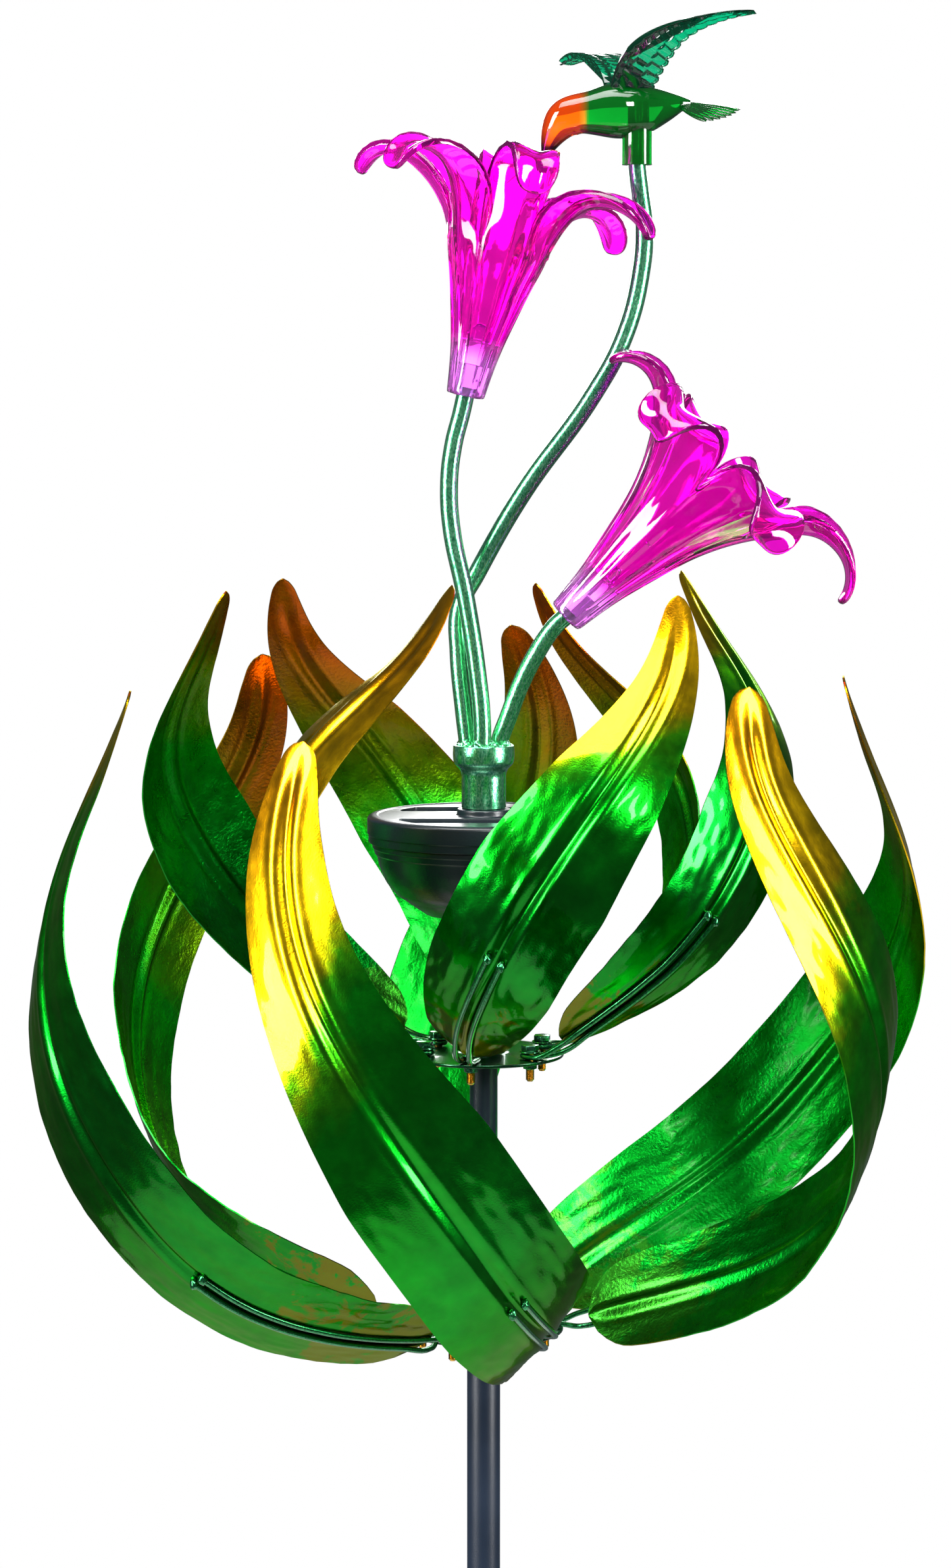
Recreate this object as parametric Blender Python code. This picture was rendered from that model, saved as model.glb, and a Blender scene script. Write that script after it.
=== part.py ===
"""Garden wind spinner: two counter-turning tiers of leaf blades, with solar lilies and a hummingbird.

Metres, +Z up. The origin is the soil line, under the middle of the ground fork's crossbar.
"""

from math import cos, pi, radians, sin, tau

import bmesh
import bpy
import numpy as np
from mathutils import Matrix, Vector

MM = 0.001
GAP = 0.3 * MM

# Ground fork and pole.
FORK_THICK = 5 * MM
FORK_DEPTH = 185 * MM
FORK_HALF = 62 * MM
PRONG_WIDTH = 20 * MM
PRONG_TIP = 3 * MM
PRONG_STRAIGHT = 129.5 * MM
CROSSBAR = 20 * MM
SOCKET_R = 13.5 * MM
SOCKET_FOOT = 6 * MM
SOCKET_TOP = 95 * MM
POLE_R = 10 * MM
POLE_WALL = 1.3 * MM
POLE_JOINT_Z = 500 * MM
SPIGOT = 60 * MM
AXLE_R = 8.35 * MM
AXLE_TAIL = 68 * MM
SPINDLE_R = 6 * MM
SPINDLE_WALL = 1.2 * MM
SPINDLE_TOP = 1213 * MM
RUNNING = 0.08 * MM

# Hubs.
LOWER_DISC_TOP = 938 * MM
UPPER_DISC_TOP = 1105.5 * MM
DISC_R = 48 * MM
DISC_THICK = 2 * MM
COLLAR_TALL = 14 * MM
COLLAR_WALL = 2.7 * MM
BUSH_WALL = 4 * MM
BUSH_LIP = 1.6 * MM
BOLT_RING = 37 * MM
BOLT_SHANK = 2.4 * MM
BOLT_HOLE = 2.9 * MM
BOLT_HEAD = 5.2 * MM
BOLT_TALL = 4.4 * MM
NUT_R = 4 * MM
BOLT_TAIL = 10.2 * MM
ROD_R = 1.7 * MM
ROD_APART = 4.4 * MM
ROD_STAND = 1.0 * MM
KNEE = 9 * MM

# Leaf blades. Each station gives share, radius mm, azimuth deg, height mm, pitch deg.
BLADES = 6
SHEET = 1.0 * MM
RIB_DEEP = 2.4 * MM
RIB_SHARE = 0.17
FULL_RIB = 30 * MM
ARM_SHARES = (0.165, 0.13, 0.1, 0.075)
LOWER_STATIONS = (
    (0.0, 44, -14, -9, 54),
    (0.12, 162, -29, 32, 28),
    (0.28, 241, -41, 103, 15),
    (0.45, 273, -50.5, 182, 4),
    (0.65, 266, -60.5, 267, -9),
    (0.83, 238, -65, 334, -8),
    (1.0, 221, -63.5, 385, -4),
)
UPPER_STATIONS = (
    (0.0, 35, -32, -10, 16),
    (0.12, 106, -42.5, 36, 21),
    (0.28, 153, -51, 85, 22),
    (0.45, 176, -60.5, 137, 22),
    (0.65, 179, -73.5, 190, 24),
    (0.83, 166, -87.5, 236, 29),
    (1.0, 153, -95, 276, 36),
)
# Half widths, as share and mm.
LOWER_WIDTHS = (
    (0.0, 6), (0.03, 25), (0.06, 34), (0.12, 41), (0.2, 45), (0.4, 45.5), (0.6, 34), (0.8, 24), (0.93, 15),
    (1.0, 6),
)
UPPER_WIDTHS = (
    (0.0, 5), (0.05, 18), (0.09, 27), (0.14, 34), (0.2, 38.5), (0.4, 41), (0.6, 33), (0.8, 18), (0.93, 9),
    (1.0, 4),
)
# How each hand-bent blade sits on its bolt: turn, lift and roll in degrees.
LOWER_SETS = ((-2.5, 3, 4), (0.5, 8.5, -7.5), (-1, 0, 0.5), (1.5, 1.5, -7.5), (0.5, -6.5, 3), (1.5, 0, -1.5))
UPPER_SETS = ((-2.5, 2, 0.5), (3.5, -4, 1), (-1.5, 2, -3), (-0.5, -0.5, -1), (3.5, 3, 0.5), (-2, -3, 2.5))
BLADE_SHARES = (0.03, 0.05, 0.08, 0.12, 0.18, 0.25, 0.33, 0.42, 0.52, 0.62, 0.72, 0.82, 0.91, 0.97, 1.0)
BLADE_COLUMNS = (-1, -0.6, -0.17, 0, 0.17, 0.6, 1)
# hand is 1 where the leaves lean one way round the pole, and -1 where they are mirrored.
TIERS = {
    "lower": {
        "stations": LOWER_STATIONS,
        "widths": LOWER_WIDTHS,
        "sets": LOWER_SETS,
        "cup": 0.11,
        "middle": 150 * MM,
        "lift": 948 * MM,
        "disc": LOWER_DISC_TOP,
        "first": -46,
        "step": -60,
        "hand": 1,
        "start": 0.018,
        "axle": AXLE_R,
        "weld": 0.2,
    },
    "upper": {
        "stations": UPPER_STATIONS,
        "widths": UPPER_WIDTHS,
        "sets": UPPER_SETS,
        "cup": 0.156,
        "middle": 110 * MM,
        "lift": 1110 * MM,
        "disc": UPPER_DISC_TOP,
        "first": -134,
        "step": 60,
        "hand": -1,
        "start": 0.038,
        "axle": SPINDLE_R,
        "weld": 0.25,
    },
}

# Solar housing.
BOWL_FLOOR = 1189 * MM
BOWL_WALL = 2 * MM
LID_R = 69.4 * MM
LID_TOP = 1248.5 * MM
LID_FOOT = 1232.7 * MM
LID_SKIN = 3.5 * MM
LID_WALL = 2.2 * MM
BOSS_R = 16 * MM
BOSS_TOP = 1252.5 * MM
WINDOW = ((50, 20), (50, 29), (41, 43), (-41, 43), (-50, 29), (-50, 20))
BOARD = ((55, -30), (55, 30), (44, 44.5), (-44, 44.5), (-55, 30), (-55, -30), (-44, -44.5), (44, -44.5))
BOARD_TOP = 1244.2 * MM
BOARD_THICK = 2 * MM
SWITCH_Y = 22 * MM
SWITCH_HOLE = 4.3 * MM
CELL_R = 7.1 * MM
CELL_LONG = 50 * MM
CELL_PLACE = (0, -25 * MM, 1206.5 * MM)

# Stems and the cup they are welded into, their middle lines in mm.
STEM_R = 5.35 * MM
FERRULE_TOP = 1290.5 * MM
BIRD_STEM = (
    (-9, 4, 1287.2), (-12, 5, 1312), (-15, 7, 1345), (-14.5, 9, 1371), (-4, 11, 1392), (23, 10, 1439),
    (65, 8, 1498), (83, 8, 1532), (93, 9, 1571), (94.5, 8, 1597), (92, 5.5, 1616), (90, 4, 1633),
    (90, 4, 1650), (90, 4, 1666),
)
UPPER_STEM = (
    (-1, -6, 1287.2), (-1, -6, 1304), (-4, -5, 1335), (-11, -5, 1380), (-19, -5, 1419), (-20.5, -5, 1445),
    (-18, -5, 1468),
)
LOWER_STEM = ((8.5, 0, 1287.2), (9.5, -0.5, 1293), (14.5, -2, 1307), (22, -4, 1327), (31, -6, 1345))

# Lilies. The funnel is round up to the throat, as height and radius in mm.
FUNNEL = ((0, 11.2), (15, 12.8), (33, 15.6), (52, 20), (75, 26), (93, 33), (108, 41), (122, 50.5))
LILY_WALL = 2.0 * MM
LILY_COLUMNS = 6
LILY_ROWS = 13
PETAL_TAPER = 0.6
# A petal is its turn in degrees, its slopes as (mm past the throat, degrees), and its length past the throat.
LILIES = {
    "upper": {
        "base": (-11, -5, 1497),
        "lean": 12.5,
        "nod": 3,
        "throat": 84,
        "stem": UPPER_STEM,
        "petals": (
            (-22, ((0, 18.4), (20, 22), (35, 36), (47, 62), (60, 90), (75, 116), (92, 150)), 90),
            (38, ((0, 18.4), (20, 32), (35, 55), (50, 88), (65, 125), (80, 165)), 82),
            (98, ((0, 18.4), (25, 16), (45, 30), (60, 70), (75, 130), (90, 170)), 86),
            (158, ((0, 18.4), (20, 32), (38, 48), (55, 64), (70, 86), (80, 122), (90, 160)), 96),
            (216, ((0, 18.4), (25, 18), (42, 32), (60, 66), (75, 100), (88, 146), (98, 180)), 96),
            (283, ((0, 18.4), (18, 10), (40, 6), (56, 14), (66, 70), (75, 135), (92, 172)), 94),
        ),
    },
    "lower": {
        "base": (48, -8, 1367.2),
        "lean": 46,
        "nod": 6,
        "throat": 124,
        "stem": LOWER_STEM,
        "petals": (
            (-62, ((0, 38), (14, 46), (26, 66), (36, 98), (48, 150), (60, 205)), 58),
            (-2, ((0, 36), (10, 37), (22, 46), (34, 72), (47, 98), (60, 130), (74, 166)), 76),
            (58, ((0, 34), (14, 36), (26, 62), (38, 110), (50, 160)), 44),
            (118, ((0, 34), (14, 36), (26, 62), (38, 110), (50, 160)), 42),
            (180, ((0, 36), (10, 46), (20, 60), (29, 78), (40, 116), (52, 160)), 54),
            (240, ((0, 38), (12, 50), (24, 78), (34, 120), (46, 175), (60, 235)), 56),
        ),
    },
}
# The lamp's plug, as radius and height in mm up the flower's axis.
PLUG = (
    (5.8, 1), (7.1, 1), (9.1, 20), (10.2, 30), (10.3, 33.5), (5.2, 33.5), (4.8, 40), (2.4, 43.5), (0, 44.2),
    (0, 20), (5.4, 20), (5.8, 17),
)

# Hummingbird. A section is x, z, half width and half height in mm, from the beak's tip to the tail's end.
BIRD_Y = 4 * MM
BIRD_SECTIONS = (
    (34.2, 1627, 0.5, 0.5), (37, 1640, 3.4, 3.6), (39.3, 1646.5, 5.8, 6.3), (43, 1653.5, 8.6, 9.4),
    (48, 1659, 10.6, 11.6), (55, 1661.8, 10.8, 11.8), (63, 1662.6, 11.6, 13), (73, 1663.4, 13.6, 15.6),
    (84, 1664, 14.2, 16.4), (94, 1664.6, 13, 14.6), (103, 1665.8, 10.4, 11), (112, 1667, 7, 6),
    (120, 1667, 6.5, 2.6), (134, 1664.5, 11, 1.8), (148, 1662.5, 14, 1.2),
)
BIRD_SOCKET = {"x": 90 * MM, "radius": 9 * MM, "foot": 1632 * MM, "top": 1660 * MM, "end": 1668 * MM}
# Wing stations: a leading edge and a trailing edge point, in mm.
WING_THICK = 2.2 * MM
WINGS = {
    "bird_wing_near": (
        ((74, -5, 1680), (100, -7, 1678)),
        ((77.5, -12, 1689), (104, -15, 1684)),
        ((84, -20, 1699), (109, -23, 1692)),
        ((94, -26, 1706.5), (115, -30, 1700)),
        ((108, -32, 1712), (124, -35, 1706.5)),
        ((126, -37, 1716), (136, -39, 1711.5)),
        ((143, -41, 1718), (147.5, -42, 1714.5)),
        ((155, -43, 1718), (156.5, -43.5, 1716)),
    ),
    "bird_wing_far": (
        ((71, 12, 1680.5), (96, 12, 1681)),
        ((68, 20, 1688), (94, 22, 1689)),
        ((62, 30, 1695), (88, 33, 1696)),
        ((55, 39, 1698), (79, 43, 1698.5)),
        ((49, 47, 1697.5), (66, 51, 1697)),
        ((45, 53, 1694.5), (51, 56, 1693.5)),
    ),
}


def clearScene():
    for old in list(bpy.data.objects):
        bpy.data.objects.remove(old, do_unlink=True)


def material(name, color, metallic=0.0, roughness=0.4, alpha=1.0):
    made = bpy.data.materials.new(name)
    made.use_nodes = True
    shader = made.node_tree.nodes["Principled BSDF"]
    shader.inputs["Base Color"].default_value = (*color, 1)
    shader.inputs["Metallic"].default_value = metallic
    shader.inputs["Roughness"].default_value = roughness
    shader.inputs["Alpha"].default_value = alpha
    return made


def empty(name, place):
    made = bpy.data.objects.new(name, None)
    bpy.context.scene.collection.objects.link(made)
    made.location = place
    return made


def hang(name, data, look, parent):
    """An object made of data, hung under an empty that isn't turned."""
    data.materials.append(look)
    made = bpy.data.objects.new(name, data)
    bpy.context.scene.collection.objects.link(made)
    made.parent = parent
    return made


def piece(name, work, look, parent, smooth=True):
    """A named mesh from a bmesh in world space."""
    bmesh.ops.recalc_face_normals(work, faces=work.faces)
    bmesh.ops.translate(work, verts=work.verts, vec=-Vector(parent.location))
    for face in work.faces:
        face.smooth = smooth
    mesh = bpy.data.meshes.new(name)
    work.to_mesh(mesh)
    work.free()
    return hang(name, mesh, look, parent)


def turned(name, profile, look, parent, steps=32, center=(0, 0), place=None):
    """A profile of radius and height spun once round, closed on itself or ending on the axis at both ends."""
    work = bmesh.new()
    verts = [work.verts.new((center[0] + r, center[1], z)) for r, z in profile]
    ring = profile[0][0] > 0
    edges = [work.edges.new((verts[i - 1], verts[i])) for i in range(0 if ring else 1, len(verts))]
    bmesh.ops.spin(
        work,
        geom=verts + edges,
        cent=(*center, 0),
        axis=(0, 0, 1),
        angle=tau,
        steps=steps,
        use_merge=True,
    )
    bmesh.ops.remove_doubles(work, verts=work.verts, dist=MM / 1000)
    if place:
        bmesh.ops.transform(work, verts=work.verts, matrix=place)
    return piece(name, work, look, parent)


def rod(name, points, radius, look, parent, sides, parts):
    """A round bar along a smooth curve, with sides facets round it and parts steps between two points."""
    curve = bpy.data.curves.new(name, "CURVE")
    curve.dimensions = "3D"
    curve.resolution_u = parts
    curve.render_resolution_u = 0
    curve.bevel_depth = radius
    curve.bevel_resolution = (sides - 4) // 2
    curve.use_fill_caps = True
    line = curve.splines.new("BEZIER")
    line.bezier_points.add(len(points) - 1)
    for handle, point in zip(line.bezier_points, points):
        handle.co = Vector(point) - parent.location
        handle.handle_left_type = "AUTO"
        handle.handle_right_type = "AUTO"
    return hang(name, curve, look, parent)


def prism(name, outline, low, high, look, parent, place=None):
    """An outline in X and Y extruded straight up from low to high."""
    work = bmesh.new()
    face = work.faces.new([work.verts.new((x, y, low)) for x, y in outline])
    raised = bmesh.ops.extrude_face_region(work, geom=[face])["geom"]
    top = [part for part in raised if isinstance(part, bmesh.types.BMVert)]
    bmesh.ops.translate(work, verts=top, vec=(0, 0, high - low))
    if place:
        bmesh.ops.transform(work, verts=work.verts, matrix=place)
    return piece(name, work, look, parent, smooth=False)


def drums(name, centers, radius, low, high, parent, segments=16):
    """Upright cylinders in one mesh, used as a cutter."""
    work = bmesh.new()
    for x, y in centers:
        place = Matrix.Translation((x, y, (low + high) / 2))
        bmesh.ops.create_cone(
            work,
            cap_ends=True,
            segments=segments,
            radius1=radius,
            radius2=radius,
            depth=high - low,
            matrix=place,
        )
    return piece(name, work, PAINT["steel"], parent, smooth=False)


def sheet(name, columns, rows, spot, thick, look, parent, offset=0.0, seam=False):
    """A grid with each point put in place by spot(column, row), then given its thickness."""
    work = bmesh.new()
    bmesh.ops.create_grid(work, x_segments=columns, y_segments=rows, size=1)
    for vert in work.verts:
        vert.co = spot(round((vert.co.x + 1) / 2 * columns), round((vert.co.y + 1) / 2 * rows))
    if seam:
        bmesh.ops.remove_doubles(work, verts=work.verts, dist=MM / 100)
    made = piece(name, work, look, parent)
    walls = made.modifiers.new("thickness", "SOLIDIFY")
    walls.thickness = thick
    walls.offset = offset
    return made


def cut(target, cutter, operation="DIFFERENCE"):
    cutter.hide_render = True
    cutter.display_type = "WIRE"
    made = target.modifiers.new(operation.lower(), "BOOLEAN")
    made.operation = operation
    made.solver = "EXACT"
    made.object = cutter


def spline(xs, ys, at):
    """A natural cubic through the points, at one place."""
    xs, ys = np.array(xs, float), np.array(ys, float)
    gaps = np.diff(xs)
    count = len(xs)
    system = np.eye(count)
    right = np.zeros(count)
    for i in range(1, count - 1):
        system[i, i - 1:i + 2] = (gaps[i - 1], 2 * (gaps[i - 1] + gaps[i]), gaps[i])
        right[i] = 6 * ((ys[i + 1] - ys[i]) / gaps[i] - (ys[i] - ys[i - 1]) / gaps[i - 1])
    bend = np.linalg.solve(system, right)
    i = int(np.clip(np.searchsorted(xs, at) - 1, 0, count - 2))
    a, b, h = xs[i + 1] - at, at - xs[i], gaps[i]
    bowed = (bend[i] * a ** 3 + bend[i + 1] * b ** 3) / (6 * h)
    return float(bowed + (ys[i] / h - bend[i] * h / 6) * a + (ys[i + 1] / h - bend[i + 1] * h / 6) * b)


def station(tier, column, share):
    rows = tier["stations"]
    return spline([row[0] for row in rows], [row[column] for row in rows], share)


def middleLine(tier, share):
    r = station(tier, 1, share) * MM
    turn = radians(station(tier, 2, share))
    return Vector((r * cos(turn), r * sin(turn), station(tier, 3, share) * MM))


def bladeFrame(tier, share):
    """Middle, width direction and outward direction at a share of the blade, before it is set on its bolt."""
    here = middleLine(tier, share)
    ahead = (middleLine(tier, min(share + 0.01, 1.0)) - middleLine(tier, max(share - 0.01, 0.0))).normalized()
    out = here - Vector((0, 0, tier["middle"]))
    out = (out - ahead * out.dot(ahead)).normalized()
    side = out.cross(ahead)
    pitch = radians(station(tier, 4, share))
    across = cos(pitch) * side + sin(pitch) * out
    return here, across, cos(pitch) * out - sin(pitch) * side


def setting(tier, index):
    """The matrix that puts one blade on its bolt, in world space."""
    turn, lift, roll = tier["sets"][index]
    root = middleLine(tier, 0.0)
    root.y *= tier["hand"]
    outward = Vector((root.x, root.y, 0)).normalized()
    sideways = Vector((-outward.y * tier["hand"], outward.x * tier["hand"], 0))
    bend = Matrix.Rotation(radians(lift), 4, sideways) @ Matrix.Rotation(radians(roll), 4, outward)
    yaw = Matrix.Rotation(radians(tier["first"] + index * tier["step"] + turn), 4, "Z")
    mirror = Matrix.Diagonal((1, tier["hand"], 1, 1))
    lifted = Matrix.Translation((0, 0, tier["lift"]))
    return lifted @ yaw @ Matrix.Translation(root) @ bend @ Matrix.Translation(-root) @ mirror


def sheetPoint(tier, share, across):
    """A point of the pressed sheet: across runs -1 to 1 over the width."""
    here, width, out = bladeFrame(tier, share)
    half = float(np.interp(share, *np.array(tier["widths"]).T)) * MM
    dish = tier["cup"] * half * across ** 2
    rib = RIB_DEEP * max(0.0, 1 - abs(across) / RIB_SHARE) * min(1.0, half / FULL_RIB)
    return here + width * (half * across) - out * (dish + rib)


def blade(name, tier, index, parent):
    shares = [tier["start"], *[share for share in BLADE_SHARES if share > tier["start"] + 0.01]]
    place = setting(tier, index)

    def spot(column, row):
        return place @ sheetPoint(tier, shares[row], BLADE_COLUMNS[column])

    sheet(name, len(BLADE_COLUMNS) - 1, len(shares) - 1, spot, SHEET, PAINT["leaf"], parent)


def boltPlace(tier, index):
    root = middleLine(tier, 0.0)
    turn = radians(tier["first"] + index * tier["step"]) + tier["hand"] * np.arctan2(root.y, root.x)
    return Vector((BOLT_RING * cos(turn), BOLT_RING * sin(turn), 0)), turn


def arm(name, tier, index, parent):
    """A hairpin of round rod: its bend goes round the hub bolt and its legs lie on the blade's outer face."""
    place = setting(tier, index)
    bolt, turn = boltPlace(tier, index)
    outward = Vector((cos(turn), sin(turn), 0))
    sideways = Vector((-sin(turn), cos(turn), 0))
    level = Vector((0, 0, tier["disc"] + GAP + ROD_R))
    stand = SHEET / 2 + ROD_R + ROD_STAND
    legs = []
    for leg in (1, -1):
        line = []
        for share in (tier["weld"], *ARM_SHARES, tier["start"] + 0.02, tier["start"] - 0.006):
            here, width, out = bladeFrame(tier, share)
            line.append(place @ (here + width * (leg * ROD_APART) + out * stand))
        line.append(bolt + outward * KNEE - sideways * (leg * tier["hand"] * ROD_APART) + level)
        legs.append(line)
    bend = []
    for k in range(7):
        a = -pi / 2 + pi * k / 6
        bend.append(bolt - outward * (ROD_APART * cos(a)) + sideways * (ROD_APART * sin(a)) + level)
    if (legs[0][-1] - bend[0]).length > (legs[0][-1] - bend[-1]).length:
        bend.reverse()
    rod(name, [*legs[0], *bend, *reversed(legs[1])], ROD_R, PAINT["green"], parent, sides=6, parts=1)


def hubBolt(name, tier, index, parent):
    bolt, _ = boltPlace(tier, index)
    clamp = tier["disc"] + 2 * GAP + 2 * ROD_R
    under = tier["disc"] - DISC_THICK - GAP
    profile = (
        (0, under - BOLT_TAIL),
        (NUT_R - 0.8 * MM, under - BOLT_TAIL),
        (NUT_R, under - BOLT_TAIL + 0.7 * MM),
        (NUT_R, under),
        (BOLT_SHANK, under),
        (BOLT_SHANK, clamp),
        (BOLT_HEAD, clamp),
        (BOLT_HEAD, clamp + BOLT_TALL - 1 * MM),
        (BOLT_HEAD - 1.2 * MM, clamp + BOLT_TALL),
        (0, clamp + BOLT_TALL),
    )
    turned(name, profile, PAINT["brass"], parent, steps=8, center=(bolt.x, bolt.y))


def hub(label, tier, parent):
    bush = tier["axle"] + RUNNING + BUSH_WALL
    inner = bush + GAP
    outer = inner + COLLAR_WALL
    top = tier["disc"]
    foot = top - DISC_THICK
    edge = 0.5 * MM
    profile = (
        (DISC_R - edge, foot),
        (DISC_R, foot + edge),
        (DISC_R, top - edge),
        (DISC_R - edge, top),
        (outer, top),
        (outer, top + COLLAR_TALL),
        (inner, top + COLLAR_TALL),
        (inner, foot),
    )
    made = turned(label + "_hub", profile, PAINT["green"], parent, steps=36)
    centers = [boltPlace(tier, i)[0].xy for i in range(BLADES)]
    reach = 5 * MM
    cut(made, drums(label + "_holes", centers, BOLT_HOLE, top - reach, top + reach, parent, segments=12))
    bore = tier["axle"] + RUNNING
    lip = top + COLLAR_TALL + GAP
    profile = (
        (bush, foot),
        (bush, lip),
        (outer - edge, lip),
        (outer - edge, lip + BUSH_LIP),
        (bore, lip + BUSH_LIP),
        (bore, foot),
    )
    turned(label + "_bearing", profile, PAINT["steel"], parent)


def groundFork(parent):
    half, deep, tip = FORK_HALF, FORK_DEPTH, PRONG_TIP
    outline = (
        (half, CROSSBAR),
        (-half, CROSSBAR),
        (-half, -PRONG_STRAIGHT),
        (tip - half, -deep),
        (2 * tip - half, -deep),
        (PRONG_WIDTH - half, 0),
        (half - PRONG_WIDTH, 0),
        (half - 2 * tip, -deep),
        (half - tip, -deep),
        (half, -PRONG_STRAIGHT),
    )
    upright = Matrix.Rotation(pi / 2, 4, "X")
    made = prism("ground_fork", outline, -FORK_THICK / 2, FORK_THICK / 2, PAINT["pole"], parent, upright)
    cut(made, drums("fork_socket", [(0, 0)], SOCKET_R, SOCKET_FOOT, SOCKET_TOP, parent, 24), "UNION")
    low, high = CROSSBAR + 2 * MM, SOCKET_TOP + 5 * MM
    cut(made, drums("fork_bore", [(0, 0)], POLE_R + GAP, low, high, parent, 24))


def poles(parent):
    inside = POLE_R - POLE_WALL
    neck = inside - GAP
    low = CROSSBAR + 2 * MM + GAP
    taper = 10 * MM
    lower = (
        (POLE_R, low),
        (POLE_R, POLE_JOINT_Z),
        (neck, POLE_JOINT_Z),
        (neck, POLE_JOINT_Z + SPIGOT),
        (neck - POLE_WALL, POLE_JOINT_Z + SPIGOT),
        (neck - POLE_WALL, POLE_JOINT_Z - 2 * taper),
        (inside, POLE_JOINT_Z - 3 * taper),
        (inside, low),
    )
    turned("pole_lower", lower, PAINT["pole"], parent, steps=24)
    top = LOWER_DISC_TOP - DISC_THICK - 1 * MM
    sleeve = AXLE_R + GAP / 3
    edge = 0.8 * MM
    upper = (
        (POLE_R, POLE_JOINT_Z + GAP),
        (POLE_R, top - edge),
        (POLE_R - edge, top),
        (sleeve, top),
        (sleeve, top - AXLE_TAIL - 2 * MM),
        (inside, top - AXLE_TAIL - 7 * MM),
        (inside, POLE_JOINT_Z + GAP),
    )
    turned("pole_upper", upper, PAINT["pole"], parent, steps=24)
    shoulder = UPPER_DISC_TOP - DISC_THICK - 0.5 * MM
    bore = SPINDLE_R - SPINDLE_WALL
    axle = (
        (AXLE_R - 1 * MM, top - AXLE_TAIL),
        (AXLE_R, top - AXLE_TAIL + 1 * MM),
        (AXLE_R, shoulder - edge),
        (AXLE_R - edge, shoulder),
        (SPINDLE_R, shoulder),
        (SPINDLE_R, SPINDLE_TOP),
        (bore, SPINDLE_TOP),
        (bore, top - AXLE_TAIL),
    )
    turned("axle_tube", axle, PAINT["pole"], parent)


def housing(parent, button):
    floor, rim = BOWL_FLOOR, LID_FOOT - GAP
    bore = SPINDLE_R + GAP
    bowl = turned("housing_bowl", (
        (34 * MM, floor),
        (44.3 * MM, floor + 7 * MM),
        (46 * MM, floor + 8.3 * MM),
        (52.1 * MM, floor + 12.2 * MM),
        (58.4 * MM, floor + 19.7 * MM),
        (63.9 * MM, floor + 36.2 * MM),
        (66.2 * MM, floor + 42 * MM),
        (66.2 * MM, rim),
        (64.2 * MM, rim),
        (61.9 * MM, floor + 36.6 * MM),
        (56.5 * MM, floor + 20.8 * MM),
        (50.9 * MM, floor + 14 * MM),
        (43.5 * MM, floor + 9.2 * MM),
        (33.2 * MM, floor + BOWL_WALL),
        (bore, floor + BOWL_WALL),
        (bore, floor),
    ), PAINT["housing"], parent, steps=36)
    reach = 5 * MM
    cut(bowl, drums("switch_hole", [(0, SWITCH_Y)], SWITCH_HOLE, floor - reach, floor + reach, parent))
    flange = floor + BOWL_WALL + GAP
    turned("switch_button", (
        (0, floor - 2.5 * MM),
        (3.3 * MM, floor - 2.5 * MM),
        (3.9 * MM, floor - 1.9 * MM),
        (3.9 * MM, flange),
        (5.6 * MM, flange),
        (5.6 * MM, flange + 1.3 * MM),
        (0, flange + 1.3 * MM),
    ), PAINT["button"], button, steps=16, center=(0, SWITCH_Y))
    inner = LID_R - LID_WALL
    skin = LID_TOP - LID_SKIN
    lid = turned("housing_lid", (
        (LID_R, LID_FOOT),
        (LID_R, LID_TOP - 2.4 * MM),
        (LID_R - 0.7 * MM, LID_TOP - 0.7 * MM),
        (LID_R - 2.4 * MM, LID_TOP),
        (BOSS_R, LID_TOP),
        (BOSS_R, BOSS_TOP),
        (9 * MM, BOSS_TOP),
        (9 * MM, skin),
        (inner, skin),
        (inner, LID_FOOT),
    ), PAINT["housing"], parent, steps=36)
    for side, label in ((1, "rear"), (-1, "front")):
        outline = [(x * MM, side * y * MM) for x, y in WINDOW]
        cut(lid, prism(label + "_window", outline, skin - reach, LID_TOP + reach, PAINT["housing"], parent))
    outline = [(x * MM, y * MM) for x, y in BOARD]
    prism("solar_panel", outline, BOARD_TOP - BOARD_THICK, BOARD_TOP, PAINT["solar"], parent)
    work = bmesh.new()
    lying = Matrix.Translation(CELL_PLACE) @ Matrix.Rotation(pi / 2, 4, "Y")
    bmesh.ops.create_cone(
        work, cap_ends=True, segments=16, radius1=CELL_R, radius2=CELL_R, depth=CELL_LONG, matrix=lying
    )
    piece("battery", work, PAINT["battery"], parent)
    foot = BOSS_TOP + GAP
    turned("socket_ferrule", (
        (13.3 * MM, foot),
        (13.3 * MM, 1273 * MM),
        (14.6 * MM, 1276 * MM),
        (18 * MM, 1279.5 * MM),
        (18.2 * MM, 1285 * MM),
        (18 * MM, FERRULE_TOP),
        (16.6 * MM, FERRULE_TOP),
        (16.4 * MM, 1286 * MM),
        (2.5 * MM, 1286 * MM),
        (2.5 * MM, 1280 * MM),
        (10.5 * MM, 1276 * MM),
        (10.5 * MM, foot),
    ), PAINT["green"], parent, steps=28)


def lilyPlace(lily):
    lean = Matrix.Rotation(radians(lily["lean"]), 4, "Y")
    return Matrix.Translation(Vector(lily["base"])) @ lean @ Matrix.Rotation(radians(lily["nod"]), 4, "X")


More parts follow.
